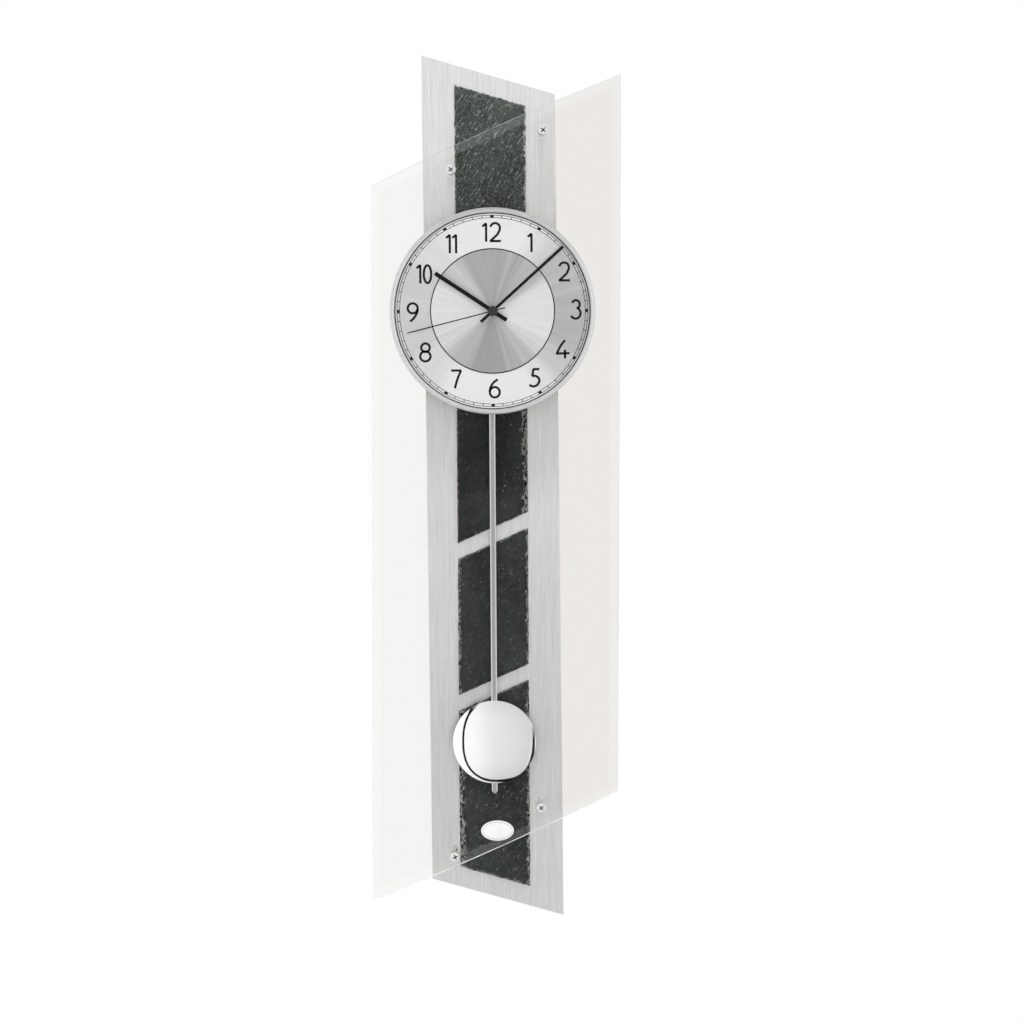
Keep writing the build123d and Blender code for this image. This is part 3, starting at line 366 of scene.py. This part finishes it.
def solder_mask():
    finish = Finish("circuit_green", tone(38, 104, 66))
    cells = finish.node("TexBrick", finish.stretched(200.0, 0.0, 200.0))
    cells.inputs["Scale"].default_value = 1.0
    cells.inputs["Mortar Size"].default_value = 0.05
    tracks = finish.math("MULTIPLY", cells.outputs["Fac"], 0.8)
    finish.feed("Base Color", finish.mix(tracks, finish.color, tone(74, 140, 92)))
    cloud = finish.noise(finish.stretched(300.0, 300.0, 300.0))
    finish.feed("Roughness", finish.span(cloud, 0.3, 0.7, 0.22, 0.36))
    finish.relief(tracks, 0.04 * MM)
    return finish


def battery_sleeve():
    """Plain two-colour shrink sleeve with bare metal at the ends."""
    low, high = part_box("battery")
    finish = Finish("battery_sleeve", tone(36, 42, 52))
    share = finish.span(finish.node("SeparateXYZ", finish.place).outputs["X"], low.x, high.x, 0.0, 1.0)
    bands = ((0.0, grey(190)), (0.025, tone(34, 40, 50)), (0.68, tone(196, 132, 70)), (0.955, grey(196)))
    bare = ((0.0, 1.0), (0.025, 0.0), (0.955, 1.0))
    finish.feed("Base Color", finish.ramp(share, bands, "CONSTANT"))
    finish.feed("Metallic", finish.ramp(share, bare, "CONSTANT"))
    cloud = finish.noise(finish.stretched(160.0, 160.0, 160.0))
    finish.feed("Roughness", finish.span(cloud, 0.3, 0.7, 0.22, 0.36))
    return finish


stone = slate_stone()
black_ink_and_shade = moulded("black_ink_and_painted_shade", grey(26), 0.6, specular=0.15)
pale_ink = moulded("grey_ink", grey(150), 0.5)
enamel = moulded("white_enamel", grey(240), 0.22, grain=700.0, depth=0.01 * MM)
panel = brushed("brushed_panel", grey(224), UPRIGHT, streak=0.15, coarseness=1050.0, metallic=0.7)
# painted shade: the panel falls to 0.86 of its colour towards its lower end
panel.darken_downwards(-0.25, -0.50, 0.86).on("back_panel")
brushed("zinc_plate", tone(188, 190, 194), ACROSS, 0.3).on(
    "hanger_plate", "hanger_screws", "stator", "drive_core", "contact_plus", "contact_minus", "pivot_pin",
    "pendulum_hook", "bob_back", "bob_clip")
brushed("turned_brass", tone(206, 176, 104), OUTWARDS, 0.25).on("fixing_nut", "fixing_washer")
brushed("magnet_plate", tone(120, 122, 128), OUTWARDS, 0.3).on("rotor_magnet", "drive_magnet")
fibreboard().on("wall_board")
moulded("black_rubber", grey(52), 0.7).on("wall_bumpers", "rubber_washer")
nylon = moulded("natural_nylon", grey(214), 0.35)
nickel = polished("bright_nickel", grey(232), 0.1).on("quartz_crystal")
polished("chrome", grey(244), 0.02).on("bob_front")
# The dial's metals carry painted shade sectors that stand for the darker parts of their brushed
# reflections.
turned("bezel_metal", grey(222), sunray=True, roughness=0.36, anisotropic=0.5, streak=0.03,
       painted_sheen=(0.78, 0.88), grooves=2.1 * MM).on("bezel_ring")
turned("chapter_silver", grey(250), sunray=False, roughness=0.5, anisotropic=0.9, streak=0.02,
       painted_sheen=(0.58, 0.76)).on("chapter_ring")
turned("sunray_silver", grey(242), sunray=True, roughness=0.5, anisotropic=0.9, streak=0.06,
       painted_sheen=(0.54, 0.50)).on("center_disc")
moulded("pan_lacquer", grey(178), 0.4).on("dial_case")
moulded("hand_lacquer", grey(18), 0.4, grain=1200.0, depth=0.01 * MM, specular=0.12).on(
    "hour_hand", "minute_hand", "second_hand")
moulded("cap_lacquer", grey(18), 0.18, grain=1200.0, depth=0.005 * MM).on("hand_cap")
moulded("case_black", grey(44), 0.5).on("movement_case", "movement_cover")
moulded("acetal_white", tone(232, 228, 214), 0.35).on(
    "hour_wheel", "motion_wheel", "center_wheel", "third_wheel", "intermediate_wheel", "rotor_pinion")
moulded("acetal_black", grey(38), 0.4).on(
    "cannon_pinion", "second_wheel", "coil_bobbin", "control_chip", "setting_knob", "pivot_clip",
    "pendulum_hanger")
wound_wire().on("coil_winding", "drive_coil")
solder_mask().on("circuit_board")
battery_sleeve().on("battery")


# ---- building helpers -------------------------------------------------------------------------
def piece(name, mesh_maker, finish, body, smooth=False, thickness=0.0):
    """A mesh object in the row frame that rides on a CAD body."""
    shape = bmesh.new()
    mesh_maker(shape)
    mesh = bpy.data.meshes.new(name)
    shape.to_mesh(mesh)
    shape.free()
    mesh.materials.append(finish.material)
    for face in mesh.polygons:
        face.use_smooth = smooth
    thing = bpy.data.objects.new(name, mesh)
    bpy.context.scene.collection.objects.link(thing)
    if thickness:
        solid = thing.modifiers.new("thickness", "SOLIDIFY")
        solid.thickness = thickness
        solid.offset = 0.0
    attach(thing, body)
    return thing


def refinish(name, node, body, finishes, choose):
    """Stands in for a CAD node with the same surface, whose faces choose among several finishes."""
    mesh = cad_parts[node].data.copy()
    mesh.name = name
    mesh.materials.clear()
    for finish in finishes:
        mesh.materials.append(finish.material)
    for face in mesh.polygons:
        face.material_index = choose(face.center, face.normal)
    thing = bpy.data.objects.new(name, mesh)
    bpy.context.scene.collection.objects.link(thing)
    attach(thing, body)
    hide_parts(node)
    return thing


def arc(center, radii, start, end, steps=14):
    """Points of an elliptic arc; angles in degrees, anticlockwise from the right."""
    points = []
    for step in range(steps + 1):
        angle = math.radians(start + (end - start) * step / steps)
        points.append((center[0] + radii[0] * math.cos(angle), center[1] + radii[1] * math.sin(angle)))
    return points


def curve(*points, steps=8):
    """A smooth line through a few points."""
    ends = [points[0], *points, points[-1]]
    line = []
    for index in range(1, len(ends) - 2):
        before, here, there, after = (Vector(p) for p in ends[index - 1:index + 3])
        for step in range(steps):
            t = step / steps
            line.append(0.5 * (2 * here + (there - before) * t
                               + (2 * before - 5 * here + 4 * there - after) * t * t
                               + (3 * here - before - 3 * there + after) * t ** 3))
    line.append(Vector(points[-1]))
    return [tuple(point) for point in line]


def add_ribbon(shape, points, width, y):
    """A flat printed stroke in the dial's plane; points are (x, z) in metres."""
    flat = [Vector(point) for point in points]
    rows = []
    for index, point in enumerate(flat):
        ahead = flat[min(index + 1, len(flat) - 1)]
        behind = flat[max(index - 1, 0)]
        along = (ahead - behind).normalized()
        side = Vector((-along.y, along.x)) * width / 2
        rows.append([shape.verts.new((p.x, y, p.y)) for p in (point + side, point - side)])
    for first, second in zip(rows, rows[1:]):
        shape.faces.new((first[0], first[1], second[1], second[0]))


def add_ring(shape, center, inner, outer, y, steps=240):
    rows = []
    for step in range(steps):
        angle = 2 * math.pi * step / steps
        direction = Vector((math.cos(angle), 0, math.sin(angle)))
        middle = Vector((center[0], y, center[2]))
        rows.append([shape.verts.new(middle + direction * radius) for radius in (inner, outer)])
    for first, second in zip(rows, rows[1:] + rows[:1]):
        shape.faces.new((first[0], first[1], second[1], second[0]))


# ---- glass, rod and screws --------------------------------------------------------------------
SCREW_REACH = 30 * MM           # points of one screw lie closer together than this


def screw_axes():
    """Middle of each of the four screws."""
    corners = []
    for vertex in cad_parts["glass_screws"].data.vertices:
        spot = vertex.co
        for low, high in corners:
            if (low - spot).length < SCREW_REACH:
                low[:] = map(min, low, spot)
                high[:] = map(max, high, spot)
                break
        else:
            corners.append((spot.copy(), spot.copy()))
    return [(low + high) / 2 for low, high in corners]


SCREW_AXES = screw_axes()
SCREW_FRONT = front_of("glass_screws")
SCREW_HOLE = 5.0 * MM           # wider than the hole in the glass, from its middle
CROSS_REACH = 2.6 * MM
CROSS_RIM = 0.25 * MM           # bright rim left above the cross's painted shade
CROSS_DEPTH = 2.0 * MM


def screw_distance(center):
    return min(math.hypot(center.x - axis.x, center.z - axis.z) for axis in SCREW_AXES)


def glass_part(center, normal):
    """0 for the flat faces and screw holes, 1 for the bevel with its painted highlight, 2 for the ground
    edges.
    """
    if abs(normal.y) > 0.9995 or screw_distance(center) < SCREW_HOLE:
        return 0
    return 1 if abs(normal.y) > 0.9 else 2


def rod_part(center, normal):
    """0 for the flat faces, 1 for the chamfers and edges, whose lighter metal is a painted highlight."""
    return 0 if abs(normal.y) > 0.99 else 1


def only_part(center, normal):
    return 0


def screw_part(center, normal):
    """0 for the head and shank, 1 for the walls and floor of the cross, painted dark as shade in the
    recess.
    """
    depth = center.y - SCREW_FRONT
    return 1 if CROSS_RIM < depth < CROSS_DEPTH and screw_distance(center) < CROSS_REACH else 0


def keep_from_mirrors(*things):
    """The polished bob shows the bright wall in front of it, not the glass and the small parts on it."""
    for thing in things:
        thing.visible_glossy = False


keep_from_mirrors(
    refinish("cross_screws", "glass_screws", "clock", [
        nickel,
        # The cross's walls and floor are painted near black as shade in the recess.
        moulded("recess_painted_shade", grey(24), 0.6, specular=0.2),
    ], screw_part),
    refinish("bright_standoffs", "standoffs", "clock", [nickel], only_part),
    refinish("nylon_bushes", "glass_bushes", "clock", [nylon], only_part),
    refinish("nylon_washers", "glass_washers", "clock", [nylon], only_part),
    refinish("bevelled_glass", "front_glass", "clock", [
        clear_glass("pane_glass", tone(249, 248, 246), bend=1.06),
        # The bevel lets a little less through and shows some of its near-white colour, a painted
        # highlight for the band it reflects.
        clear_glass("bevel_glass_painted_highlight", tone(252, 252, 251), bend=1.12, clarity=0.955),
        clear_glass("ground_edge", tone(252, 254, 253), roughness=0.5, clarity=0.0),
    ], glass_part))
refinish("pendulum_bar", "pendulum_rod", "pendulum", [
    brushed("brushed_rod", grey(172), UPRIGHT, 0.3, streak=0.1),
    # The chamfers and edges take a lighter metal, a painted highlight.
    polished("rod_edge_painted_highlight", grey(226), 0.3),
], rod_part)


# ---- dial print, with two rings of painted shade ----------------------------------------------
INK_RELIEF = 0.03 * MM
NUMERAL_HEIGHT = 14.6 * MM
NUMERAL_STROKE = 1.85 * MM
NUMERAL_CIRCLE = 62.0 * MM
NUMERAL_NUDGE = {1: (-0.4, 0), 2: (3.2, -0.3), 3: (4.1, 0.9), 4: (1.8, 0.5), 5: (1.9, 0.7), 6: (1.3, 0.8),
                 7: (2.0, 0.1), 8: (0.2, -1.4), 9: (-1.2, -0.5), 10: (0.1, -1.6), 11: (-0.7, -0.6)}


def digit_strokes():
    """Strokes of each digit in units of its height, from its middle."""
    one = [[(0.04, -0.5), (0.04, 0.5)], curve((-0.17, 0.33), (-0.06, 0.40), (0.04, 0.50))]
    two = [arc((0.0, 0.24), (0.26, 0.26), 168, -10)
           + curve((0.25, 0.16), (0.14, -0.08), (-0.08, -0.30), (-0.27, -0.47))[1:],
           [(-0.29, -0.465), (0.31, -0.465)]]
    three = [arc((0.0, 0.27), (0.21, 0.23), 160, -62), arc((-0.02, -0.20), (0.27, 0.30), 78, -152, 20)]
    four = [curve((0.13, 0.49), (-0.10, 0.20), (-0.33, -0.235)), [(-0.37, -0.235), (0.37, -0.22)],
            [(0.12, -0.03), (0.12, -0.5)]]
    five = [[(-0.06, 0.47), (0.27, 0.47)], [(-0.05, 0.49), (-0.12, 0.08)],
            curve((-0.125, 0.09), (0.06, 0.10), (0.235, -0.03), (0.25, -0.24), (0.10, -0.42),
                  (-0.10, -0.47), (-0.28, -0.38))]
    six = [curve((0.17, 0.49), (-0.08, 0.30), (-0.24, 0.02), (-0.27, -0.20)),
           arc((0.0, -0.21), (0.27, 0.28), 180, 540, 28)]
    seven = [[(-0.28, 0.465), (0.27, 0.465)], curve((0.25, 0.46), (0.06, 0.02), (-0.09, -0.5))]
    eight = [arc((0.01, 0.26), (0.23, 0.23), 0, 360, 24), arc((0.0, -0.21), (0.28, 0.27), 0, 360, 28)]
    nine = [arc((0.0, 0.21), (0.27, 0.27), 0, 360, 28),
            curve((0.27, 0.20), (0.22, -0.05), (0.06, -0.32), (-0.14, -0.5))]
    zero = [arc((0.0, 0.0), (0.20, 0.48), 0, 360, 32)]
    return dict(zip("0123456789", (zero, one, two, three, four, five, six, seven, eight, nine)))


DIGITS = digit_strokes()
PAIR_SPACING = {"10": (-0.27, 0.16), "11": (-0.16, 0.18), "12": (-0.36, 0.17)}
TRACK_INNER_R = 73.6 * MM
TRACK_OUTER_R = 75.6 * MM
TRACK_LINE = 0.42 * MM
TRACK_STROKE = 0.55 * MM
TRACK_SQUARE = 2.8 * MM
TRACK_SQUARE_MARGIN = 0.15 * MM
# width of the painted shade ring at the centre disc's edge
CENTER_SHADE_WIDTH = 0.8 * MM
# radii of the ring inside the bezel, part print and part painted shade
RIM_INK_AND_SHADE = (76.9 * MM, 77.6 * MM)


def numeral_maker(hour, y):
    """Prints one hour numeral, upright, on the numeral circle."""
    angle = math.radians(30 * hour)
    nudge = NUMERAL_NUDGE.get(hour, (0, 0))
    middle = (DIAL.x + NUMERAL_CIRCLE * math.sin(angle) + nudge[0] * MM,
              DIAL.z + NUMERAL_CIRCLE * math.cos(angle) + nudge[1] * MM)
    text = str(hour)
    shifts = PAIR_SPACING.get(text, (0.0,))

    def make(shape):
        for digit, shift in zip(text, shifts):
            for points in DIGITS[digit]:
                line = [(middle[0] + (x + shift) * NUMERAL_HEIGHT, middle[1] + z * NUMERAL_HEIGHT)
                        for x, z in points]
                add_ribbon(shape, line, NUMERAL_STROKE, y)
    return make


def minute_track(shape):
    """Two fine circles joined by a stroke each minute, with a square every fifth."""
    y = front_of("chapter_ring") - INK_RELIEF
    for radius in (TRACK_INNER_R, TRACK_OUTER_R):
        add_ring(shape, DIAL, radius - TRACK_LINE / 2, radius + TRACK_LINE / 2, y)
    middle = Vector((DIAL.x, DIAL.z))
    for minute in range(60):
        angle = math.radians(6 * minute)
        out = Vector((math.sin(angle), math.cos(angle)))
        width, margin = (TRACK_STROKE, 0.0) if minute % 5 else (TRACK_SQUARE, TRACK_SQUARE_MARGIN)
        ends = (TRACK_INNER_R - margin, TRACK_OUTER_R + margin)
        add_ribbon(shape, [middle + out * radius for radius in ends], width, y)


def print_dial():
    # Each piece is black: the numerals and track are print, the centre ring is painted shade, and the rim
    # ring is print with painted shade.
    def printed(name, mesh_maker):
        piece(name, mesh_maker, black_ink_and_shade, "clock", thickness=INK_RELIEF)

    ring_y = front_of("chapter_ring") - INK_RELIEF
    for hour in range(1, 13):
        printed("numeral_%02d" % hour, numeral_maker(hour, ring_y))
    printed("minute_track", minute_track)
    low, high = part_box("center_disc")
    edge = (high.x - low.x) / 2
    center_y = front_of("center_disc") - INK_RELIEF
    # Painted shade: a thin dark ring at the centre disc's edge, the shadow of the step there.
    printed("center_step_shade", lambda shape: add_ring(shape, DIAL, edge - CENTER_SHADE_WIDTH, edge, center_y))
    # The ring inside the bezel is part print, part painted shade of the bezel's inner wall.
    printed("rim_ink_and_shade", lambda shape: add_ring(shape, DIAL, *RIM_INK_AND_SHADE, ring_y))


print_dial()


# ---- slates -----------------------------------------------------------------------------------
SLATE_CELL = 1.0 * MM           # spacing of the points on a face
SLATE_LAYERS = 5                # terraces that a face splits into
SLATE_LAYER_SIZE = 26 * MM
SLATE_RELIEF = 0.9 * MM         # from the highest terrace to the lowest
SLATE_WAVE = 0.35 * MM
SLATE_WAVE_SIZE = 3 * MM
SLATE_CHIP_SIZE = 5.5 * MM
SLATE_CRUMB_SIZE = 1.8 * MM
SLATE_CRUMBLE = 0.8 * MM        # depth of even the narrowest break
SLATE_WANDER = 0.7 * MM         # how far an outline strays inwards
SLATE_WANDER_SIZE = 4 * MM
SLATE_BACK = 0.4 * MM           # stone left behind the deepest break
# How strongly each slab's face is pitted and scratched, from 0 to 1.
SLATE_PITTING = {"slate_top": 0.7, "slate_upper": 0.22, "slate_middle": 0.3, "slate_lower": 0.42}
# How deep the edges are broken away, in millimetres: left, right, bottom, top.
SLATE_BREAKS = {
    "slate_top": (1.6, 3.0, 1.4, 2.2),
    "slate_upper": (1.8, 8.0, 2.2, 1.2),
    "slate_middle": (4.0, 3.6, 2.2, 2.4),
    "slate_lower": (7.5, 4.6, 3.8, 2.0),
}


def slab_outline(node):
    """Low corner, high corner, and (bottom, top) heights at the left and right edges."""
    low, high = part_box(node)
    points = [vertex.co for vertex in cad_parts[node].data.vertices]
    left = [point.z for point in points if point.x < low.x + 0.1 * MM]
    right = [point.z for point in points if point.x > high.x - 0.1 * MM]
    return low, high, (min(left), max(left)), (min(right), max(right))


def rough(point, size, octaves=4):
    """Fractal noise from 0 to 1 with features of about that size.

    A place moved by whole metres gives another pattern.
    """
    value = noise.fractal(point / size, 0.9, 2.0, octaves)
    return min(1.0, max(0.0, 0.5 + 0.5 * value))


def slate_maker(node):
    """A slab inside the node's outline, with a cleft face and edges broken away."""
    low, high, left_ends, right_ends = slab_outline(node)
    width = high.x - low.x
    thickness = high.y - low.y
    breaks = [value * MM for value in SLATE_BREAKS[node]]
    columns = round(width / SLATE_CELL)
    rows = round((left_ends[1] - left_ends[0]) / SLATE_CELL)
    slope = (right_ends[0] - left_ends[0]) / width, (right_ends[1] - left_ends[1]) / width

    def surface(x, z, edges):
        """Inward depth of the cleft face, and how broken the stone is there."""
        here = Vector((x, 0.0, z))
        layers = rough(here, SLATE_LAYER_SIZE, 5) * SLATE_LAYERS
        step = layers - math.floor(layers)
        terrace = (math.floor(layers) + min(1.0, step * 4)) / SLATE_LAYERS
        wave = rough(here + Vector((3, 1, 2)), SLATE_WAVE_SIZE, 3)
        depth = SLATE_RELIEF * terrace + SLATE_WAVE * wave
        broken = 0.0
        for side, (distance, reach) in enumerate(zip(edges, breaks)):
            patch = rough(here + Vector((side, 5, 0)), SLATE_CHIP_SIZE, 3)
            chip = reach * (0.25 + 1.1 * patch)
            if distance < chip:
                share = 1 - distance / chip
                ragged = 0.5 + rough(here + Vector((7, side, 0)), SLATE_CRUMB_SIZE, 3)
                depth += share * ragged * min(thickness * 0.5, 0.5 * reach + SLATE_CRUMBLE)
                broken = max(broken, share * ragged)
        return min(depth, thickness - SLATE_BACK), min(1.0, broken)

    def make(shape):
        broken_layer = shape.verts.layers.float.new("broken")
        pitted_layer = shape.verts.layers.float.new("pitted")
        grid = []
        for row in range(rows + 1):
            line = []
            for column in range(columns + 1):
                x = low.x + width * column / columns
                bottom = left_ends[0] + slope[0] * (x - low.x)
                top = left_ends[1] + slope[1] * (x - low.x)
                z = bottom + (top - bottom) * row / rows
                edges = (x - low.x, high.x - x, z - bottom, top - z)
                depth, broken = surface(x, z, edges)
                wander = SLATE_WANDER * rough(Vector((x, 9.0, z)), SLATE_WANDER_SIZE, 4)
                if column in (0, columns):
                    x += wander if column == 0 else -wander
                if row in (0, rows):
                    z += wander if row == 0 else -wander
                vertex = shape.verts.new((x, low.y + depth, z))
                vertex[broken_layer] = broken
                line.append(vertex)
            grid.append(line)
        for lower, upper in zip(grid, grid[1:]):
            for index in range(columns):
                shape.faces.new((lower[index], lower[index + 1], upper[index + 1], upper[index]))
        right = [line[-1] for line in grid[1:]]
        left = [line[0] for line in grid[-2:0:-1]]
        rim = grid[0] + right + grid[-1][-2::-1] + left
        back = []
        for vertex in rim:
            copy = shape.verts.new((vertex.co.x, high.y, vertex.co.z))
            # The slab's sides count as broken, so they take the painted ridge highlight and gap shade.
            copy[broken_layer] = 0.6
            back.append(copy)
        for index in range(len(rim)):
            after = (index + 1) % len(rim)
            shape.faces.new((rim[index], back[index], back[after], rim[after]))
        shape.faces.new(back[::-1])
        for vertex in shape.verts:
            vertex[pitted_layer] = SLATE_PITTING[node]
    return make


for node in SLATE_BREAKS:
    slab = piece(node + "_cleft", slate_maker(node), stone, "clock")
    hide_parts(node)


# ---- badge ------------------------------------------------------------------------------------
BADGE_PROFILE = [(1.0, 0.0), (1.0, 0.55), (0.985, 0.8), (0.955, 0.93), (0.6, 0.98), (0.25, 1.0)]
BADGE_STEPS = 96
BADGE_LINE = 0.3 * MM
BADGE_LINE_INSET = 1.3 * MM
BADGE_LOW, BADGE_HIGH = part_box("oval_badge")
BADGE_FACE = BADGE_LOW.y + INK_RELIEF


def badge_oval(share, inset=0.0):
    """Points (x, z) round the badge, at a share of its size less an inset."""
    middle = box_center("oval_badge")
    half = (BADGE_HIGH - BADGE_LOW) / 2
    radii = (share * half.x - inset, share * half.z - inset)
    return arc((middle.x, middle.z), radii, 0, 360, BADGE_STEPS)


def badge_dome(shape):
    """A low oval dome with a rounded rim."""
    rows = []
    for share, rise in BADGE_PROFILE:
        y = BADGE_HIGH.y + (BADGE_FACE - BADGE_HIGH.y) * rise
        rows.append([shape.verts.new((x, y, z)) for x, z in badge_oval(share)[:-1]])
    for first, second in zip(rows, rows[1:]):
        for index in range(BADGE_STEPS):
            after = (index + 1) % BADGE_STEPS
            shape.faces.new((first[index], first[after], second[after], second[index]))
    shape.faces.new(rows[0][::-1])
    shape.faces.new(rows[-1])


def badge_line(shape):
    """A fine oval line inside the badge's rim."""
    add_ribbon(shape, badge_oval(1.0, BADGE_LINE_INSET), BADGE_LINE, BADGE_FACE)


badge = piece("badge_oval", badge_dome, enamel, "clock", smooth=True)
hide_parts("oval_badge")
oval = piece("badge_line", badge_line, pale_ink, "clock", thickness=INK_RELIEF)
keep_from_mirrors(badge, oval)


# ---- studio -----------------------------------------------------------------------------------
CAMERA_PLACE = Vector((-0.0406, -2.083, -0.1802))
CAMERA_PITCH = -3.674       # degrees, as are the yaw and the roll
CAMERA_YAW = 1.563
CAMERA_ROLL = -0.378
CAMERA_LENS = 89.16         # millimetres, as is the sensor
CAMERA_SENSOR = 36
LAMP_PLACE = Vector((-0.05, -1.25, 1.25))
LAMP_TARGET = Vector((0.0, -0.05, -0.2))
LAMP_SIZE = 0.5
LAMP_POWER = 16
FLOOR_HEIGHT = -1.6


def add_camera():
    pitch, yaw, roll = (math.radians(angle) for angle in (CAMERA_PITCH, CAMERA_YAW, CAMERA_ROLL))
    ahead = Vector((math.sin(yaw) * math.cos(pitch), math.cos(yaw) * math.cos(pitch), math.sin(pitch)))
    level = Vector((math.cos(yaw), -math.sin(yaw), 0))
    up = level.cross(ahead)
    side = level * math.cos(roll) + up * math.sin(roll)
    top = up * math.cos(roll) - level * math.sin(roll)
    data = bpy.data.cameras.new("camera")
    data.lens = CAMERA_LENS
    data.sensor_width = CAMERA_SENSOR
    data.clip_start = 0.02
    camera = bpy.data.objects.new("camera", data)
    camera.matrix_world = Matrix((side, top, -ahead)).transposed().to_4x4()
    camera.location = CAMERA_PLACE
    bpy.context.scene.collection.objects.link(camera)
    bpy.context.scene.camera = camera


def add_lamp():
    """A soft round lamp that lights and shadows surfaces without showing in polished metal."""
    data = bpy.data.lights.new("key", "AREA")
    data.shape = "DISK"
    data.size = LAMP_SIZE
    data.energy = LAMP_POWER
    light = bpy.data.objects.new("key", data)
    light.location = LAMP_PLACE
    light.visible_glossy = False
    light.rotation_euler = (LAMP_TARGET - LAMP_PLACE).to_track_quat("-Z", "Y").to_euler()
    bpy.context.scene.collection.objects.link(light)


# Brightness of the studio as metal reflects it, by degrees to the right of straight in front of
# the dial, and shares of it by degrees above level. The ceiling takes over higher up.
STUDIO_SIDES = ((-180, 0.9), (-74, 1.1), (-70, 0.1), (-64, 0.1), (-58, 1.2), (-40, 1.2), (-37, 1.16),
                (-25, 1.14), (-12, 1.04), (0, 0.95), (26, 0.87), (47, 0.78), (51, 1.0), (57, 0.9),
                (61, 0.05), (70, 0.1), (74, 1.1), (180, 0.9))
STUDIO_DIMMING = ((-90, 0.8), (-56, 0.80), (-50, 0.88), (-33, 0.97), (-10, 1.0), (24, 0.98), (44, 0.86),
                  (90, 0.86))
STUDIO_CEILING = ((-90, 0.0), (44, 0.0), (54, 1.0), (90, 1.0))
# The bright wall in front of the clock is a rounded oblong with a dark gap round it, which fades
# out towards the upper right. Places on it are x and z over 1 - y of the direction looked in.
WALL_SIDE = 0.063
WALL_RISE = -0.067
WALL_HALF_WIDTH = 0.414
WALL_HALF_HEIGHT = 0.497
WALL_SQUARENESS = 2.5
WALL_GAP = 0.08
GAP_FADES = (0.17, 0.36)
GAP_LEFT_OVER = 0.2
GAP_BRIGHTNESS = 0.01
# What shows through the glass: x over y of the direction, where the wall falls off to the right.
SEEN_HALF_WIDTH = 0.12
SEEN_FALL = (-0.01, 0.035)
SEEN_LEFT = (0.96, 0.96, 0.96)
SEEN_RIGHT = (0.88, 0.865, 0.853)
WHITE = (1.0, 1.0, 1.0)


def wall_behind_glass(nodes, x, y, through_glass):
    """White, or through the glass a pale wall that falls off and warms towards the right."""
    sideways = nodes.math("DIVIDE", x, y)
    near = nodes.math("LESS_THAN", nodes.math("ABSOLUTE", sideways), SEEN_HALF_WIDTH)
    wall = nodes.mix(nodes.span(sideways, *SEEN_FALL, 0.0, 1.0), SEEN_LEFT, SEEN_RIGHT)
    return nodes.mix(nodes.math("MULTIPLY", near, through_glass), WHITE, wall)


def studio_light(nodes, x, y, z):
    """What polished metal reflects: a bright front wall with a dark gap round it, and a ceiling."""
    def stops(levels, full):
        return [(0.5 + degrees / full, level) for degrees, level in levels]

    def outline_share(place, middle, half):
        share = nodes.math("DIVIDE", nodes.math("SUBTRACT", place, middle), half)
        return nodes.math("POWER", nodes.math("ABSOLUTE", share), WALL_SQUARENESS)

    around = nodes.math("ARCTAN2", x, nodes.math("MULTIPLY", y, -1.0))
    turn = nodes.math("ADD", nodes.math("DIVIDE", around, 2 * math.pi), 0.5)
    rise = nodes.math("ADD", nodes.math("DIVIDE", nodes.math("ARCSINE", z), math.pi), 0.5)
    sides = nodes.ramp(turn, stops(STUDIO_SIDES, 360))
    dimming = nodes.ramp(rise, stops(STUDIO_DIMMING, 180))
    ceiling = nodes.ramp(rise, stops(STUDIO_CEILING, 180))

    ahead = nodes.math("SUBTRACT", 1.0, y)
    side = nodes.math("DIVIDE", x, ahead)
    height = nodes.math("DIVIDE", z, ahead)
    outline = nodes.math("ADD", outline_share(side, WALL_SIDE, WALL_HALF_WIDTH),
                         outline_share(height, WALL_RISE, WALL_HALF_HEIGHT))
    gap = nodes.math("LESS_THAN", nodes.math("ABSOLUTE", nodes.math("SUBTRACT", outline, 1.0)), WALL_GAP)
    upper_right = nodes.math("ADD", height, nodes.math("MULTIPLY", side, 0.5))
    gap = nodes.math("MULTIPLY", gap, nodes.span(upper_right, *GAP_FADES, 1.0, GAP_LEFT_OVER))
    wall = nodes.mix(ceiling, nodes.math("MULTIPLY", sides, dimming), WHITE)
    return nodes.mix(gap, wall, (GAP_BRIGHTNESS,) * 3)


def add_studio_world():
    """White or pale to the eye, and the studio to everything that reflects or scatters light."""
    world = bpy.data.worlds.new("studio")
    bpy.context.scene.world = world
    world.use_nodes = True
    nodes = Nodes(world.node_tree)
    direction = nodes.node("SeparateXYZ", nodes.node("TexCoord").outputs["Generated"])
    x, y, z = direction.outputs
    path = nodes.node("LightPath").outputs
    bounces = nodes.math("ADD", path["Diffuse Depth"], path["Glossy Depth"])
    through_glass = nodes.math("GREATER_THAN", path["Is Transmission Ray"],
                               nodes.math("MINIMUM", bounces, 1.0))
    seen = nodes.math("MAXIMUM", path["Is Camera Ray"], through_glass)
    shown = nodes.mix(seen, studio_light(nodes, x, y, z), wall_behind_glass(nodes, x, y, through_glass))
    nodes.tree.links.new(shown, nodes.tree.nodes["Background"].inputs["Color"])


def add_floor():
    """A pale floor well below the clock, out of the front view."""
    finish = Finish("pale_floor", grey(244))
    cloud = finish.noise(finish.stretched(3.0, 3.0, 3.0), 3.0)
    finish.shade(cloud, 0.97, 1.01)
    finish.set("Roughness", 0.8)
    mesh = bpy.data.meshes.new("floor")
    shape = bmesh.new()
    bmesh.ops.create_grid(shape, x_segments=8, y_segments=8, size=2.0)
    shape.to_mesh(mesh)
    shape.free()
    mesh.materials.append(finish.material)
    floor = bpy.data.objects.new("floor", mesh)
    floor.location = (0, 0, FLOOR_HEIGHT)
    bpy.context.scene.collection.objects.link(floor)
    floor.visible_glossy = False
    floor.visible_transmission = False
    floor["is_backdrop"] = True


add_camera()
add_lamp()
add_studio_world()
add_floor()
scene = bpy.context.scene
scene.view_settings.view_transform = "Standard"
scene.cycles.use_denoising = True

boxes = {"cad": cad_bounds, "visual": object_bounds()}
{name: [list(corner) for corner in corners] for name, corners in boxes.items()}
